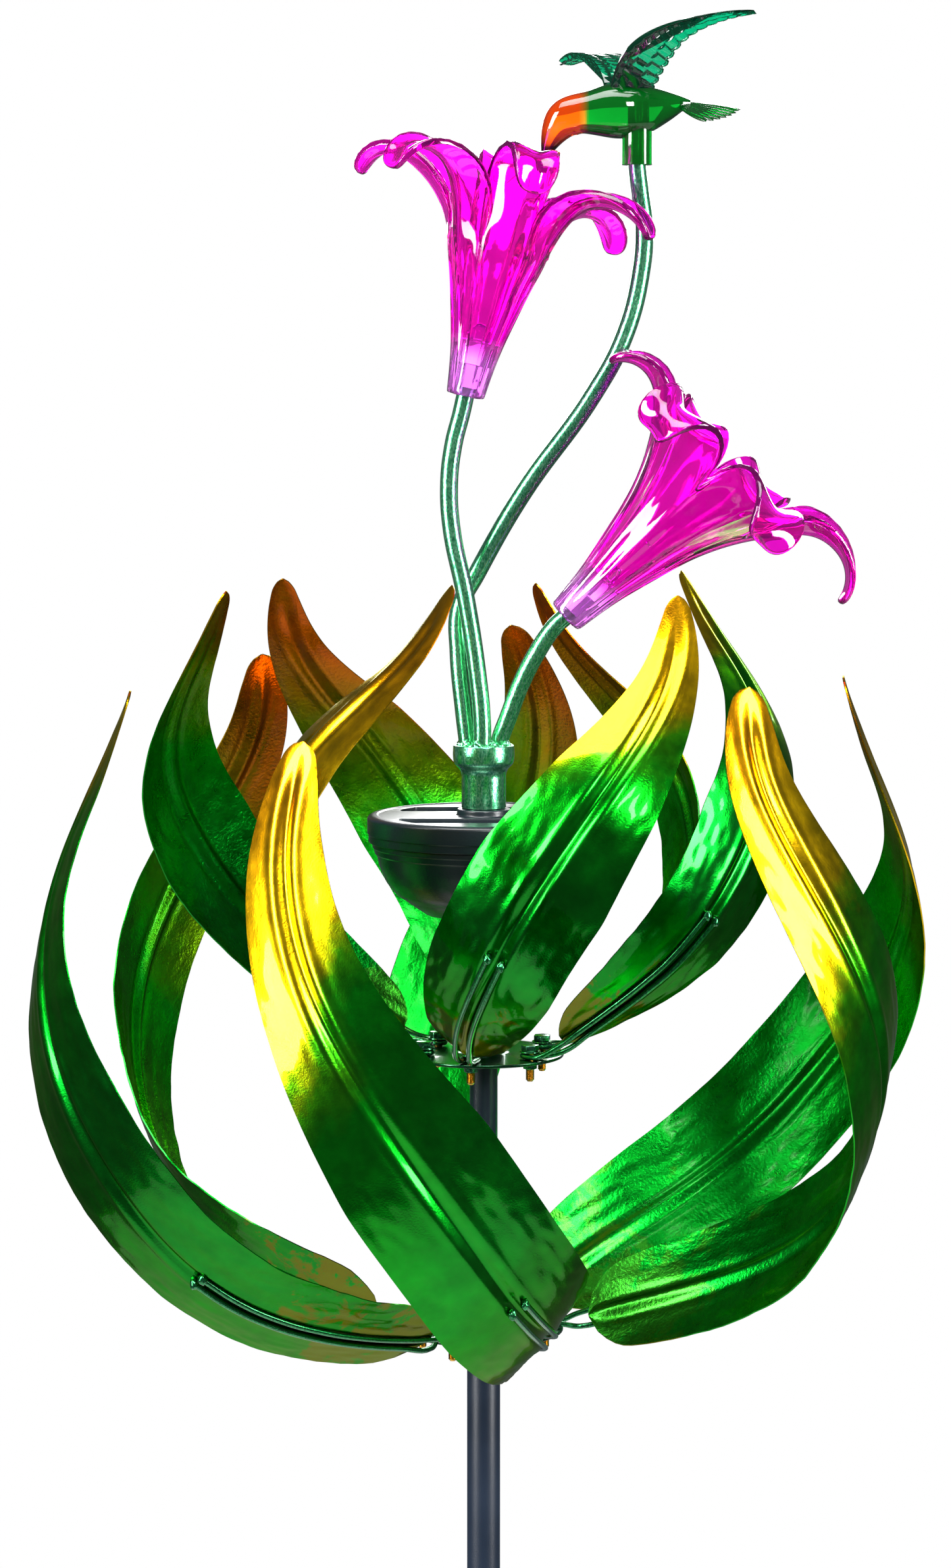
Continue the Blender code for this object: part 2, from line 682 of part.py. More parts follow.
def petalLine(lily, slopes):
    """Distance, radius and height along a petal's middle line, in mm, every half mm."""
    step = 0.5
    at = np.arange(0, lily["throat"] + 110, step)
    heights, radii = np.array(FUNNEL, float).T
    lengths = np.concatenate([[0], np.cumsum(np.hypot(np.diff(heights), np.diff(radii)))])
    past, turns = zip(*slopes)
    slope = []
    for distance in at:
        if distance <= lily["throat"]:
            rise = spline(lengths, radii, distance + step) - spline(lengths, radii, distance)
            slope.append(float(np.arcsin(np.clip(rise / step, -1, 1))))
        else:
            slope.append(radians(spline(past, turns, min(distance - lily["throat"], past[-1]))))
    radius = radii[0] + np.concatenate([[0], np.cumsum(np.sin(slope[:-1]))]) * step
    height = np.concatenate([[0], np.cumsum(np.cos(slope[:-1]))]) * step
    return at, radius, height


def petalPoint(lily, which, line, across, along):
    """A point in mm: across runs -1 to 1 over the petal, along 0 to 1 from the foot to the petal's rim."""
    throat = lily["throat"]
    petals = lily["petals"]
    turn, _, length = petals[which]
    neighbour = petals[(which + (1 if across > 0 else -1)) % len(petals)][0]
    half_gap = abs((neighbour - turn + 180) % 360 - 180) / 2
    at, radius, height = line
    s = along * (throat + 1 + length * (1 - across ** 2))
    r = float(np.interp(s, at, radius))
    height_here = float(np.interp(s, at, height))
    round_r = float(np.interp(min(s, throat), at, radius))
    around = radians(turn + half_gap * across * (round_r / r) ** PETAL_TAPER)
    return Vector((r * cos(around), r * sin(around), height_here))


def lilyFlower(label, lily, parent):
    place = Matrix.Scale(MM, 4) @ lilyPlace(lily)
    petals = lily["petals"]
    lines = [petalLine(lily, petal[1]) for petal in petals]
    total = len(petals) * LILY_COLUMNS

    def petalSpot(which, column, row):
        across = sin(pi / 2 * (2 * column / LILY_COLUMNS - 1))
        return petalPoint(lily, which, lines[which], across, (row / LILY_ROWS) ** 0.92)

    def spot(column, row):
        which, own = divmod(column % total, LILY_COLUMNS)
        here = petalSpot(which, own, row)
        if own == 0:
            here = (here + petalSpot(which - 1, LILY_COLUMNS, row)) / 2
        return place @ here

    name = "lily_" + label
    sheet(name, total, LILY_ROWS, spot, LILY_WALL, PAINT["petal"], parent, offset=-1.0, seam=True)
    turned("led_" + label, PLUG, PAINT["lamp"], parent, steps=16, place=place)
    foot = lilyPlace(lily)
    line = [Vector(point) for point in lily["stem"]] + [foot @ Vector((0, 0, z)) for z in (-9, 0, 6)]
    path = [point * MM for point in line]
    rod(f"stem_{label}_lily", path, STEM_R, PAINT["green"], parent, sides=10, parts=3)


def birdBody(parent):
    """The body and beak are rings joined in turn, with a socket for the stem below."""
    work = bmesh.new()
    before = None
    last = len(BIRD_SECTIONS) - 1
    for i, (x, z, half, tall) in enumerate(BIRD_SECTIONS):
        behind, ahead = BIRD_SECTIONS[max(i - 1, 0)], BIRD_SECTIONS[min(i + 1, last)]
        along = Vector((ahead[0] - behind[0], 0, ahead[1] - behind[1])).normalized()
        up = Vector((-along.z, 0, along.x))
        turn = Matrix((Vector((0, half, 0)), up * tall, along)).transposed().to_4x4()
        place = Matrix.Translation((x * MM, BIRD_Y, z * MM)) @ Matrix.Scale(MM, 4) @ turn
        ends = i in (0, last)
        ring = bmesh.ops.create_circle(work, cap_ends=ends, segments=14, radius=1, matrix=place)
        edges = list({edge for vert in ring["verts"] for edge in vert.link_edges})
        if before:
            bmesh.ops.bridge_loops(work, edges=before + edges)
        before = edges
    body = piece("bird_body", work, PAINT["bird"], parent)
    center = [(BIRD_SOCKET["x"], BIRD_Y)]
    foot, top = BIRD_SOCKET["foot"], BIRD_SOCKET["top"]
    cut(body, drums("bird_socket", center, BIRD_SOCKET["radius"], foot, top, parent, 20), "UNION")
    cut(body, drums("bird_bore", center, STEM_R + 2 * GAP, foot - 7 * MM, BIRD_SOCKET["end"], parent))


def wing(name, stations, parent):
    shares = (0, 0.25, 0.65, 1)

    def spot(column, row):
        lead, trail = (Vector(point) * MM for point in stations[row])
        return lead.lerp(trail, shares[column])

    sheet(name, len(shares) - 1, len(stations) - 1, spot, WING_THICK, PAINT["bird"], parent)


clearScene()
PAINT = {
    "leaf": material("leaf_enamel", (0.02, 0.32, 0.03), 0.8, 0.25),
    "green": material("green_metallic_paint", (0.03, 0.25, 0.10), 0.7, 0.3),
    "brass": material("brass_thread", (0.6, 0.45, 0.15), 1.0, 0.35),
    "steel": material("zinc_steel", (0.5, 0.5, 0.5), 1.0, 0.35),
    "pole": material("black_powder_coat", (0.012, 0.018, 0.03), 0.0, 0.4),
    "housing": material("black_abs", (0.015, 0.03, 0.035), 0.0, 0.45),
    "button": material("black_rubber", (0.01, 0.01, 0.01), 0.0, 0.8),
    "solar": material("solar_glass", (0.01, 0.015, 0.05), 0.1, 0.15),
    "battery": material("battery_sleeve", (0.1, 0.3, 0.12), 0.0, 0.4),
    "petal": material("lily_acrylic", (0.75, 0.0, 0.7), 0.0, 0.1, 0.7),
    "bird": material("bird_acrylic", (0.02, 0.3, 0.04), 0.0, 0.1, 0.75),
    "lamp": material("led_epoxy", (0.9, 0.9, 0.95), 0.0, 0.15, 0.6),
}
root = empty("frame_root", (0, 0, 0))
buttonSlide = empty("switch_slide", (0, SWITCH_Y, BOWL_FLOOR))
groundFork(root)
poles(root)
for label, tier in TIERS.items():
    axis = empty(label + "_spin_axis", (0, 0, tier["disc"]))
    hub(label, tier, axis)
    for i in range(BLADES):
        blade(f"{label}_blade_{i + 1}", tier, i, axis)
        arm(f"{label}_arm_{i + 1}", tier, i, axis)
        hubBolt(f"{label}_bolt_{i + 1}", tier, i, axis)
housing(root, buttonSlide)
rod("stem_bird", [Vector(point) * MM for point in BIRD_STEM], STEM_R, PAINT["green"], root, sides=10, parts=2)
for label, lily in LILIES.items():
    lilyFlower(label, lily, root)
birdBody(root)
for name, stations in WINGS.items():
    wing(name, stations, root)
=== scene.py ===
from functools import partial
from math import cos, pi, radians, sin, tau

import bpy
import numpy as np
from mathutils import Matrix, Vector, noise


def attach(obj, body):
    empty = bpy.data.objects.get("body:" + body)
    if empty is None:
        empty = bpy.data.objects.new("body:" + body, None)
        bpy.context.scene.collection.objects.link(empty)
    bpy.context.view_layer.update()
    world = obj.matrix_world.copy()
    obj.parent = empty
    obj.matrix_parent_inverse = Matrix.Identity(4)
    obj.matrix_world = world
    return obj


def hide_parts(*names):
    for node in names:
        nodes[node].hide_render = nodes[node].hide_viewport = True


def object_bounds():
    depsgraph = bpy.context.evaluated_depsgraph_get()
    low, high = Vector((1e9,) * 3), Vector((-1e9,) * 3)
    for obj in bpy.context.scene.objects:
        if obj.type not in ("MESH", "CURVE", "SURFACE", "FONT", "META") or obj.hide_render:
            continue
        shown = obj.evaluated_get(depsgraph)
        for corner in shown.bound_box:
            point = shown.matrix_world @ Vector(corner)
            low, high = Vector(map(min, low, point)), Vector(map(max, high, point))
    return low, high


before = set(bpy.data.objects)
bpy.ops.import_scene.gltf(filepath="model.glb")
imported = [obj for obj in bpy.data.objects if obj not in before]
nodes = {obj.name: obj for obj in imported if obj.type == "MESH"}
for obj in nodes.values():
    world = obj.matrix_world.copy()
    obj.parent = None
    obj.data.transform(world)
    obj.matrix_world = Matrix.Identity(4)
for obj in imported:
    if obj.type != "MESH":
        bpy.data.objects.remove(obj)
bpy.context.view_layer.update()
mm = 0.001
onAxis = 0.01  # mm; a profile that closes on its axis starts this far from it
print("frame loaded:", len(nodes), "nodes")


# ---- small helpers

def toLinear(hexColor, alpha=1.0):
    parts = [int(hexColor[i:i + 2], 16) / 255 for i in (1, 3, 5)]
    return tuple(c / 12.92 if c <= 0.04045 else ((c + 0.055) / 1.055) ** 2.4 for c in parts) + (alpha,)


def addNode(tree, kind, settings=None, links=None):
    # settings: node properties by name, or input values by socket name or number; links: input -> output socket
    # a node given in place of a socket stands for its first output
    node = tree.nodes.new("ShaderNode" + kind)
    for key, value in (settings or {}).items():
        if isinstance(key, int) or key in node.inputs:
            node.inputs[key].default_value = value
        else:
            setattr(node, key, value)
    feed(node, links or {})
    return node


def feed(node, links):
    for key, source in links.items():
        socket = source if isinstance(source, bpy.types.NodeSocket) else source.outputs[0]
        node.id_data.links.new(socket, node.inputs[key])


def newMaterial(name, settings):
    # returns the material, the function that adds a node to it, its shader, and the object's own coordinates
    made = bpy.data.materials.new(name)
    made.use_nodes = True
    tree = made.node_tree
    shader = tree.nodes["Principled BSDF"]
    for key, value in settings.items():
        shader.inputs[key].default_value = value
    add = partial(addNode, tree)
    return made, add, shader, add("TexCoord").outputs["Object"]


def rampStops(ramp, stops):
    elements = ramp.color_ramp.elements
    while len(elements) < len(stops):
        elements.new(0.5)
    for element, (place, color) in zip(elements, stops):
        element.position = place
        element.color = color if len(color) == 4 else toLinear(color)


def deselectAll():
    if bpy.context.mode != "OBJECT":
        bpy.ops.object.mode_set(mode="OBJECT")
    bpy.ops.object.select_all(action="DESELECT")


def makeActive(piece):
    deselectAll()
    piece.select_set(True)
    bpy.context.view_layer.objects.active = piece


def applyModifier(piece, kind, **settings):
    makeActive(piece)
    modifier = piece.modifiers.new(kind.lower(), kind)
    for key, value in settings.items():
        setattr(modifier, key, value)
    bpy.ops.object.modifier_apply(modifier=modifier.name)


def editWhole(piece, *steps):
    # edit-mode operators, each with its settings, run in turn on the whole mesh
    makeActive(piece)
    bpy.ops.object.mode_set(mode="EDIT")
    for operator, settings in steps:
        bpy.ops.mesh.select_all(action="SELECT")
        operator(**settings)
    bpy.ops.object.mode_set(mode="OBJECT")


faceOutwards = (bpy.ops.mesh.normals_make_consistent, {"inside": False})


def merged(distance):
    return bpy.ops.mesh.remove_doubles, {"threshold": distance}


def closeEnds(piece, distance):
    # merges the seam of a tube and caps its open ends
    editWhole(piece, merged(distance))
    bpy.ops.object.mode_set(mode="EDIT")
    bpy.ops.mesh.select_all(action="DESELECT")
    bpy.ops.mesh.select_non_manifold()
    bpy.ops.mesh.edge_face_add()
    bpy.ops.object.mode_set(mode="OBJECT")
    editWhole(piece, faceOutwards)


def combine(piece, tool, operation="DIFFERENCE"):
    applyModifier(piece, "BOOLEAN", operation=operation, solver="EXACT", object=tool)
    bpy.data.objects.remove(tool)


def finishPiece(piece, name, materials, body, replaced=(), smoothAngle=35):
    makeActive(piece)
    bpy.ops.object.transform_apply(location=True, rotation=True, scale=True)
    piece.name = name
    piece.data.name = name
    piece.data.materials.clear()
    for material in materials:
        piece.data.materials.append(material)
    bpy.ops.object.shade_smooth_by_angle(angle=radians(smoothAngle))
    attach(piece, body)
    if replaced:
        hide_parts(*replaced)
    return piece


def loosePiece(points, edges, faces):
    mesh = bpy.data.meshes.new("loose")
    mesh.from_pydata(points, edges, faces)
    piece = bpy.data.objects.new("loose", mesh)
    bpy.context.scene.collection.objects.link(piece)
    return piece


def extrudedPiece(outline, along):
    # a plate: one face round the outline, extruded; all in mm
    piece = loosePiece([[c * mm for c in point] for point in outline], [], [range(len(outline))])
    move = {"TRANSFORM_OT_translate": {"value": [c * mm for c in along]}}
    editWhole(piece, (bpy.ops.mesh.extrude_region_move, move), faceOutwards)
    return piece


def spunPiece(profile, steps=96, center=(0, 0)):
    # a turned shape: the profile (radius and height in mm) is spun once round the vertical through center (metres)
    edges = [(i, i + 1) for i in range(len(profile) - 1)]
    piece = loosePiece([(center[0] + r * mm, center[1], z * mm) for r, z in profile], edges, [])
    spin = {"steps": steps, "angle": tau, "center": (*center, 0), "axis": (0, 0, 1)}
    editWhole(piece, (bpy.ops.mesh.spin, spin), merged(0.000005), faceOutwards)
    return piece


def cylinderPiece(radius, tall, center, vertices=48, turn=0.0):
    deselectAll()
    bpy.ops.mesh.primitive_cylinder_add(vertices=vertices, radius=radius * mm, depth=tall * mm,
                                        location=[c * mm for c in center], rotation=(0, 0, turn))
    return bpy.context.object


def roundedProfile(points, radius, parts=4):
    # each inner corner of an outline becomes a small arc; (r, z, own radius) overrides the common one
    made = []
    count = len(points)
    for i, point in enumerate(points):
        here = Vector(point[:2])
        own = point[2] if len(point) > 2 else radius
        if i in (0, count - 1) or own <= 0:
            made.append(tuple(here))
            continue
        before = Vector(points[i - 1][:2]) - here
        after = Vector(points[i + 1][:2]) - here
        reach = min(own, before.length * 0.45, after.length * 0.45)
        a, b = here + before.normalized() * reach, here + after.normalized() * reach
        for k in range(parts + 1):
            t = k / parts
            made.append(tuple((1 - t) ** 2 * a + 2 * t * (1 - t) * here + t * t * b))
    return made


def gridPiece(columns, rows, place):
    # a flat grid whose every point is put in place by place(u, v), both 0 to 1; its UV map keeps u and v
    deselectAll()
    bpy.ops.mesh.primitive_grid_add(x_subdivisions=columns, y_subdivisions=rows, size=1)
    piece = bpy.context.object
    for vertex in piece.data.vertices:
        vertex.co = place(vertex.co.x + 0.5, vertex.co.y + 0.5)
    return piece


def addAttribute(piece, name, values):
    piece.data.attributes.new(name, "FLOAT", "POINT").data.foreach_set("value", [float(v) for v in values])


def tubePiece(points, radius, sides=3, parts=10, cyclic=False):
    # a round rod or tube along a smooth line through the points
    deselectAll()
    bpy.ops.curve.primitive_bezier_curve_add()
    curve = bpy.context.object
    curve.data.splines.clear()
    spline = curve.data.splines.new("BEZIER")
    spline.bezier_points.add(len(points) - 1)
    for handle, point in zip(spline.bezier_points, points):
        handle.co = point
        handle.handle_left_type = handle.handle_right_type = "AUTO"
    spline.use_cyclic_u = cyclic
    spline.resolution_u = parts
    curve.data.resolution_u = parts
    curve.data.bevel_depth = radius
    curve.data.bevel_resolution = sides
    curve.data.use_fill_caps = True
    makeActive(curve)
    bpy.ops.object.convert(target="MESH")
    editWhole(bpy.context.object, merged(0.00001), faceOutwards)
    return bpy.context.object


def joined(pieces):
    deselectAll()
    for piece in pieces:
        piece.select_set(True)
    bpy.context.view_layer.objects.active = pieces[0]
    if len(pieces) > 1:
        bpy.ops.object.join()
    return bpy.context.object


# ---- materials

def leafEnamel(name, inside):
    # candy enamel airbrushed on pressed steel: clear gloss over bright flake, green fading to gold at the tip;
    # the inner side is sprayed thinner, so it looks grainy, and its tip turns olive and copper
    made, add, shader, place = newMaterial(name, {
        "Metallic": 1.0, "Roughness": 0.3 if inside else 0.22, "Coat Weight": 0.1 if inside else 0.22,
        "Coat Roughness": 0.12 if inside else 0.05, "Specular Tint": toLinear("#C8D890"),
    })
    uv = add("UVMap", {"uv_map": "UVMap"})
    split = add("SeparateXYZ", links={0: uv})
    cloud = add("TexNoise", {"Scale": 22.0, "Detail": 4.0, "Roughness": 0.6}, {"Vector": place})
    centered = add("Math", {"operation": "SUBTRACT", 1: 0.5}, {0: cloud})
    # spray drift: the fade wanders by about a tenth of the leaf
    fade = add("Attribute", {"attribute_name": "fade"})
    drift = add("Math", {"operation": "MULTIPLY_ADD", 1: 0.3}, {0: centered, 2: fade.outputs["Fac"]})
    ramp = add("ValToRGB", links={0: drift})
    if inside:
        rampStops(ramp, [(0.0, "#04841E"), (0.4, "#0A9C18"), (0.5, "#4A8C08"), (0.62, "#7A8A08"),
                         (0.74, "#967008"), (0.86, "#B0640A"), (1.0, "#BC5408")])
    else:
        rampStops(ramp, [(0.0, "#04801C"), (0.42, "#08A014"), (0.5, "#3E9A0A"), (0.59, "#BCA006"),
                         (0.76, "#F2BE0C"), (1.0, "#E0980A")])
    # thicker and thinner coats of the tint
    coats = add("TexNoise", {"Scale": 60.0, "Detail": 5.0, "Roughness": 0.65}, {"Vector": place})
    coatAmount = add("MapRange", {"From Min": 0.3, "From Max": 0.7, "To Min": 0.72, "To Max": 1.08},
                     {"Value": coats})
    toned = add("VectorMath", {"operation": "SCALE"}, {0: ramp, "Scale": coatAmount})
    # painted reflection: ragged ochre patches at the leaf's root and along its lower edge, where the gold leaves are
    # mirrored in it
    reflectionNoise = add("TexNoise", {"Scale": 30.0, "Detail": 5.0, "Roughness": 0.7, "Distortion": 0.4},
                     {"Vector": place})
    reflectionRootward = add("MapRange", {"From Min": 0.2, "From Max": 0.01, "To Min": 0.0, "To Max": 0.36},
                   {"Value": split.outputs["Y"]})
    lift = add("Math", {"operation": "ADD"}, {0: reflectionNoise, 1: reflectionRootward})
    paintedReflection = add("MapRange", {"From Min": 0.72, "From Max": 0.77, "To Min": 0.0,
                             "To Max": 0.1 if inside else 0.6},
                    {"Value": lift})
    # mixes the painted reflection's ochre into the enamel colour, faint on the inner side
    mix = add("Mix", {"data_type": "RGBA", 7: toLinear("#7A4E0A")}, {0: paintedReflection, 6: toned})
    feed(shader, {"Base Color": mix.outputs[2]})
    # flake and orange peel, 0.6 mm outside; a 1 mm grain inside, drawn twice its real size so that it shows
    grain = add("TexNoise", {"Scale": 520.0 if inside else 900.0, "Detail": 3.0}, {"Vector": place})
    bump = add("Bump", {"Strength": 0.5 if inside else 0.12, "Distance": 0.0006}, {"Height": grain})
    feed(shader, {"Normal": bump})
    rough = add("MapRange", {"To Min": 0.2 if inside else 0.14, "To Max": 0.4 if inside else 0.3},
                {"Value": coats})
    feed(shader, {"Roughness": rough})
    return made


leafOuter = leafEnamel("leafCandyEnamelOuter", False)
leafInner = leafEnamel("leafCandyEnamelInner", True)


def speckledPaint(name, tint, pale, dark):
    # hammer-finish green over steel tube: silvery streaks and dark pits along the bends
    made, add, shader, place = newMaterial(name, {"Metallic": 0.95, "Roughness": 0.22, "Coat Weight": 0.5,
                                                  "Coat Roughness": 0.08})
    stretch = add("Mapping", {"Scale": (1.0, 1.0, 0.45)}, {"Vector": place})
    fleck = add("TexNoise", {"Scale": 1300.0, "Detail": 4.0, "Roughness": 0.7}, {"Vector": stretch})
    ramp = add("ValToRGB", links={0: fleck})
    rampStops(ramp, [(0.33, dark), (0.47, tint), (0.72, pale)])
    feed(shader, {"Base Color": ramp})
    bump = add("Bump", {"Strength": 0.2, "Distance": 0.0003}, {"Height": fleck})
    feed(shader, {"Normal": bump})
    return made


stemPaint = speckledPaint("stemHammeredGreen", "#44B87A", "#B8ECCA", "#185E44")
rodPaint = speckledPaint("rodGreenEnamel", "#0F6A34", "#3FB070", "#04301E")

# ---- leaves

leafTiers = {
    # a station is share of the leaf, radius mm, azimuth degrees, height mm, pitch degrees
    "lower": {
        "stations": ((0.0, 44, -14, -9, 54), (0.12, 162, -29, 32, 28), (0.28, 241, -41, 103, 15),
                     (0.45, 273, -50.5, 182, 4),
                     (0.65, 266, -60.5, 267, -9), (0.83, 238, -65, 334, -8), (1.0, 221, -63.5, 385, -4)),
        "widths": ((0.0, 14), (0.03, 28), (0.06, 35), (0.12, 42), (0.2, 45), (0.4, 45.5), (0.6, 34), (0.8, 24),
                   (0.93, 15.5), (1.0, 8)),
        "sets": ((-2.5, 3, 4), (0.5, 8.5, -7.5), (-1, 0, 0.5), (1.5, 1.5, -7.5), (0.5, -6.5, 3),
                 (1.5, 0, -1.5)),
        "cup": 0.11, "middle": 150, "lift": 948, "discTop": 938, "first": -46, "step": -60, "hand": 1,
              "start": 0.018,
    },
    "upper": {
        "stations": ((0.0, 35, -32, -10, 16), (0.12, 106, -42.5, 36, 21), (0.28, 153, -51, 85, 22),
                     (0.45, 176, -60.5, 137, 22),
                     (0.65, 179, -73.5, 190, 24), (0.83, 166, -87.5, 236, 29), (1.0, 153, -95, 276, 36)),
        "widths": ((0.0, 10), (0.05, 21), (0.09, 29), (0.14, 35), (0.2, 38.5), (0.4, 41), (0.6, 33), (0.8, 18),
                   (0.93, 10), (1.0, 5)),
        "sets": ((-2.5, 2, 0.5), (3.5, -4, 1), (-1.5, 2, -3), (-0.5, -0.5, -1), (3.5, 3, 0.5), (-2, -3, 2.5)),
        "cup": 0.156, "middle": 110, "lift": 1110, "discTop": 1105.5, "first": -134, "step": 60, "hand": -1,
              "start": 0.038,
    },
}
# share of each leaf at which the fade to gold or copper is half way
leafFades = {"lower": (0.58, 0.76, 0.54, 0.6, 0.6, 0.58), "upper": (0.64, 0.8, 0.55, 0.48, 0.72, 0.4)}
leafLook = {"sheet": 0.8, "ribDepth": 2.6, "ribHalf": 3.4, "lipHigh": 0.9, "lipOut": 7.5, "dent": 1.5,
            "ripple": 0.6,
            "columns": 44, "rows": 150, "baseRound": 26, "tipRound": 9}


def naturalSpline(xs, ys, at):
    xs, ys, at = (np.asarray(v, float) for v in (xs, ys, at))
    gaps = np.diff(xs)
    count = len(xs)
    system = np.eye(count)
    right = np.zeros(count)
    for i in range(1, count - 1):
        system[i, i - 1:i + 2] = gaps[i - 1], 2 * (gaps[i - 1] + gaps[i]), gaps[i]
        right[i] = 6 * ((ys[i + 1] - ys[i]) / gaps[i] - (ys[i] - ys[i - 1]) / gaps[i - 1])
    curl = np.linalg.solve(system, right)
    i = np.clip(np.searchsorted(xs, at) - 1, 0, count - 2)
    a, b, h = xs[i + 1] - at, at - xs[i], gaps[i]
    return (curl[i] * a ** 3 + curl[i + 1] * b ** 3) / (6 * h) + (ys[i] / h - curl[i] * h / 6) * a + (
        ys[i + 1] / h - curl[i + 1] * h / 6) * b


def easedTable(table, at):
    # a smooth line through a table that never overshoots it
    xs, ys = np.array(table, float).T
    fine = np.linspace(xs[0], xs[-1], 401)
    values = np.interp(fine, xs, ys)
    kernel = np.hanning(27)
    kernel /= kernel.sum()
    padded = np.concatenate([np.full(13, values[0]), values, np.full(13, values[-1])])
    return np.interp(at, fine, np.convolve(padded, kernel, "valid"))


def unit(vectors):
    return vectors / np.linalg.norm(vectors, axis=-1, keepdims=True)


def leafFrame(tier, shares):
    # at each share: the middle line in mm, the width direction and the outward direction, before the leaf is set
    xs, radius, azimuth, height, pitch = np.array(tier["stations"], float).T

    def line(at):
        r, a = naturalSpline(xs, radius, at), np.radians(naturalSpline(xs, azimuth, at))
        return np.stack([r * np.cos(a), r * np.sin(a), naturalSpline(xs, height, at)], -1)

    shares = np.asarray(shares, float)
    here = line(shares)
    ahead = unit(line(np.minimum(shares + 0.005, 1)) - line(np.maximum(shares - 0.005, 0)))
    out = here - (0, 0, tier["middle"])
    out = unit(out - ahead * (out * ahead).sum(-1, keepdims=True))
    side = np.cross(out, ahead)
    turn = np.radians(naturalSpline(xs, pitch, shares))[:, None]
    return here, np.cos(turn) * side + np.sin(turn) * out, np.cos(turn) * out - np.sin(turn) * side


def leafSetting(tier, index):
    # turns a leaf about the pole and tips it a little on its bolt; mm in, mm out
    turn, lift, roll = tier["sets"][index]
    root = leafFrame(tier, [0.0])[0][0] * (1, tier["hand"], 1)
    outward = Vector((root[0], root[1], 0)).normalized()
    sideways = Vector((-outward.y, outward.x, 0))
    bend = Matrix.Rotation(radians(lift), 4, sideways) @ Matrix.Rotation(radians(roll), 4, outward)
    yaw = Matrix.Rotation(radians(tier["first"] + index * tier["step"] + turn), 4, "Z")
    shift = Matrix.Translation(Vector(root))
    return np.array(Matrix.Translation((0, 0, tier["lift"])) @ yaw @ shift @ bend @ shift.inverted()
                    @ Matrix.Diagonal((1, tier["hand"], 1, 1)))


def placed(matrix, points):
    return points @ matrix[:3, :3].T + matrix[:3, 3]


def leafSurface(tier, index, shares, across):
    # a grid of points, mm: rows follow shares, columns run -1 to 1 across the leaf
    here, width, out = leafFrame(tier, shares)
    span = np.concatenate([[0], np.cumsum(np.linalg.norm(np.diff(here, axis=0), axis=1))])
    half = easedTable(tier["widths"], shares)
    fromBase, fromTip = span, span[-1] - span
    for distance, reach in ((fromBase, leafLook["baseRound"]), (fromTip, leafLook["tipRound"])):
        near = np.clip(1 - distance / reach, 0, 1)
        half = half * np.sqrt(np.maximum(1 - near ** 2, 0.004))
    offset = half[:, None] * across[None, :]
    fade = np.clip(half / 26, 0, 1)[:, None] * np.clip(fromTip / 30, 0, 1)[:, None]
    shape = -tier["cup"] * half[:, None] * across[None, :] ** 2
    shape = shape - leafLook["ribDepth"] * fade * np.exp(-(offset / leafLook["ribHalf"]) ** 2)
    for side in (-1, 1):
        shape = shape + leafLook["lipHigh"] * fade * np.exp(-((offset - side * leafLook["lipOut"]) / 3.0) ** 2)
    calm = np.clip(1.25 - shares / 0.7, 0.15, 1)[:, None]
    seed = index * 37.0 + (11.0 if tier["hand"] < 0 else 0.0)
    rough = np.zeros_like(offset)
    for i in range(offset.shape[0]):
        for j in range(offset.shape[1]):
            big = noise.noise(Vector((span[i] / 42, offset[i, j] / 26, seed)))
            small = noise.noise(Vector((span[i] / 11, offset[i, j] / 5.0, seed + 9)))
            edge = min(1.0, abs(across[j]) * 1.6)
            rough[i, j] = big * leafLook["dent"] * edge + small * leafLook["ripple"] * edge
    shape = shape + rough * calm
    points = here[:, None] + width[:, None] * offset[..., None] + out[:, None] * shape[..., None]
    return placed(leafSetting(tier, index), points)


def buildLeaf(label, tier, index):
    columns, rows = leafLook["columns"], leafLook["rows"]
    shares = tier["start"] + (1 - tier["start"]) * np.linspace(0, 1, rows + 1) ** 1.1
    across = np.linspace(-1, 1, columns + 1)
    points = leafSurface(tier, index, shares, across) * mm
    leaf = gridPiece(columns, rows, lambda u, v: points[round(v * rows), round(u * columns)])
    middle = points[rows // 3, columns // 2]
    normal = leaf.data.vertices[(rows // 3) * (columns + 1) + columns // 2].normal
    if normal.dot(Vector((middle[0], middle[1], 0))) < 0:
        leaf.data.flip_normals()
    half = leafFades[label][index]
    slant = 0.07 * tier["hand"]
    addAttribute(leaf, "fade", [0.5 + (share + slant * place - half) * 1.35 for share in shares for place in across])
    # the last upper leaf was sprayed gold on both of its sides
    sides = [leafOuter, leafOuter if (label, index) == ("upper", 5) else leafInner]
    for made in sides:
        leaf.data.materials.append(made)
    applyModifier(leaf, "SOLIDIFY", thickness=leafLook["sheet"] * mm, offset=0.0, material_offset=1,
                  material_offset_rim=0,
                  use_even_offset=True)
    slots = [polygon.material_index for polygon in leaf.data.polygons]
    finishPiece(leaf, f"{label}Leaf{index + 1}", sides, label + "_rotor",
                [f"{label}_blade_{index + 1}"], smoothAngle=50)
    for polygon, slot in zip(leaf.data.polygons, slots):
        polygon.material_index = slot


for label, tier in leafTiers.items():
    for index in range(6):
        buildLeaf(label, tier, index)
print("leaves pressed")

# ---- leaf arms, hubs and bolts

armLook = {"rod": 1.7, "apart": 4.4, "share": {"lower": 0.2, "upper": 0.25}, "boltRing": 37, "weld": 3.2}


def boltPlace(tier, index):
    root = leafFrame(tier, [0.0])[0][0]
    turn = radians(tier["first"] + index * tier["step"]) + tier["hand"] * float(np.arctan2(root[1], root[0]))
    ring = armLook["boltRing"]
    return Vector((ring * cos(turn), ring * sin(turn), 0)), turn


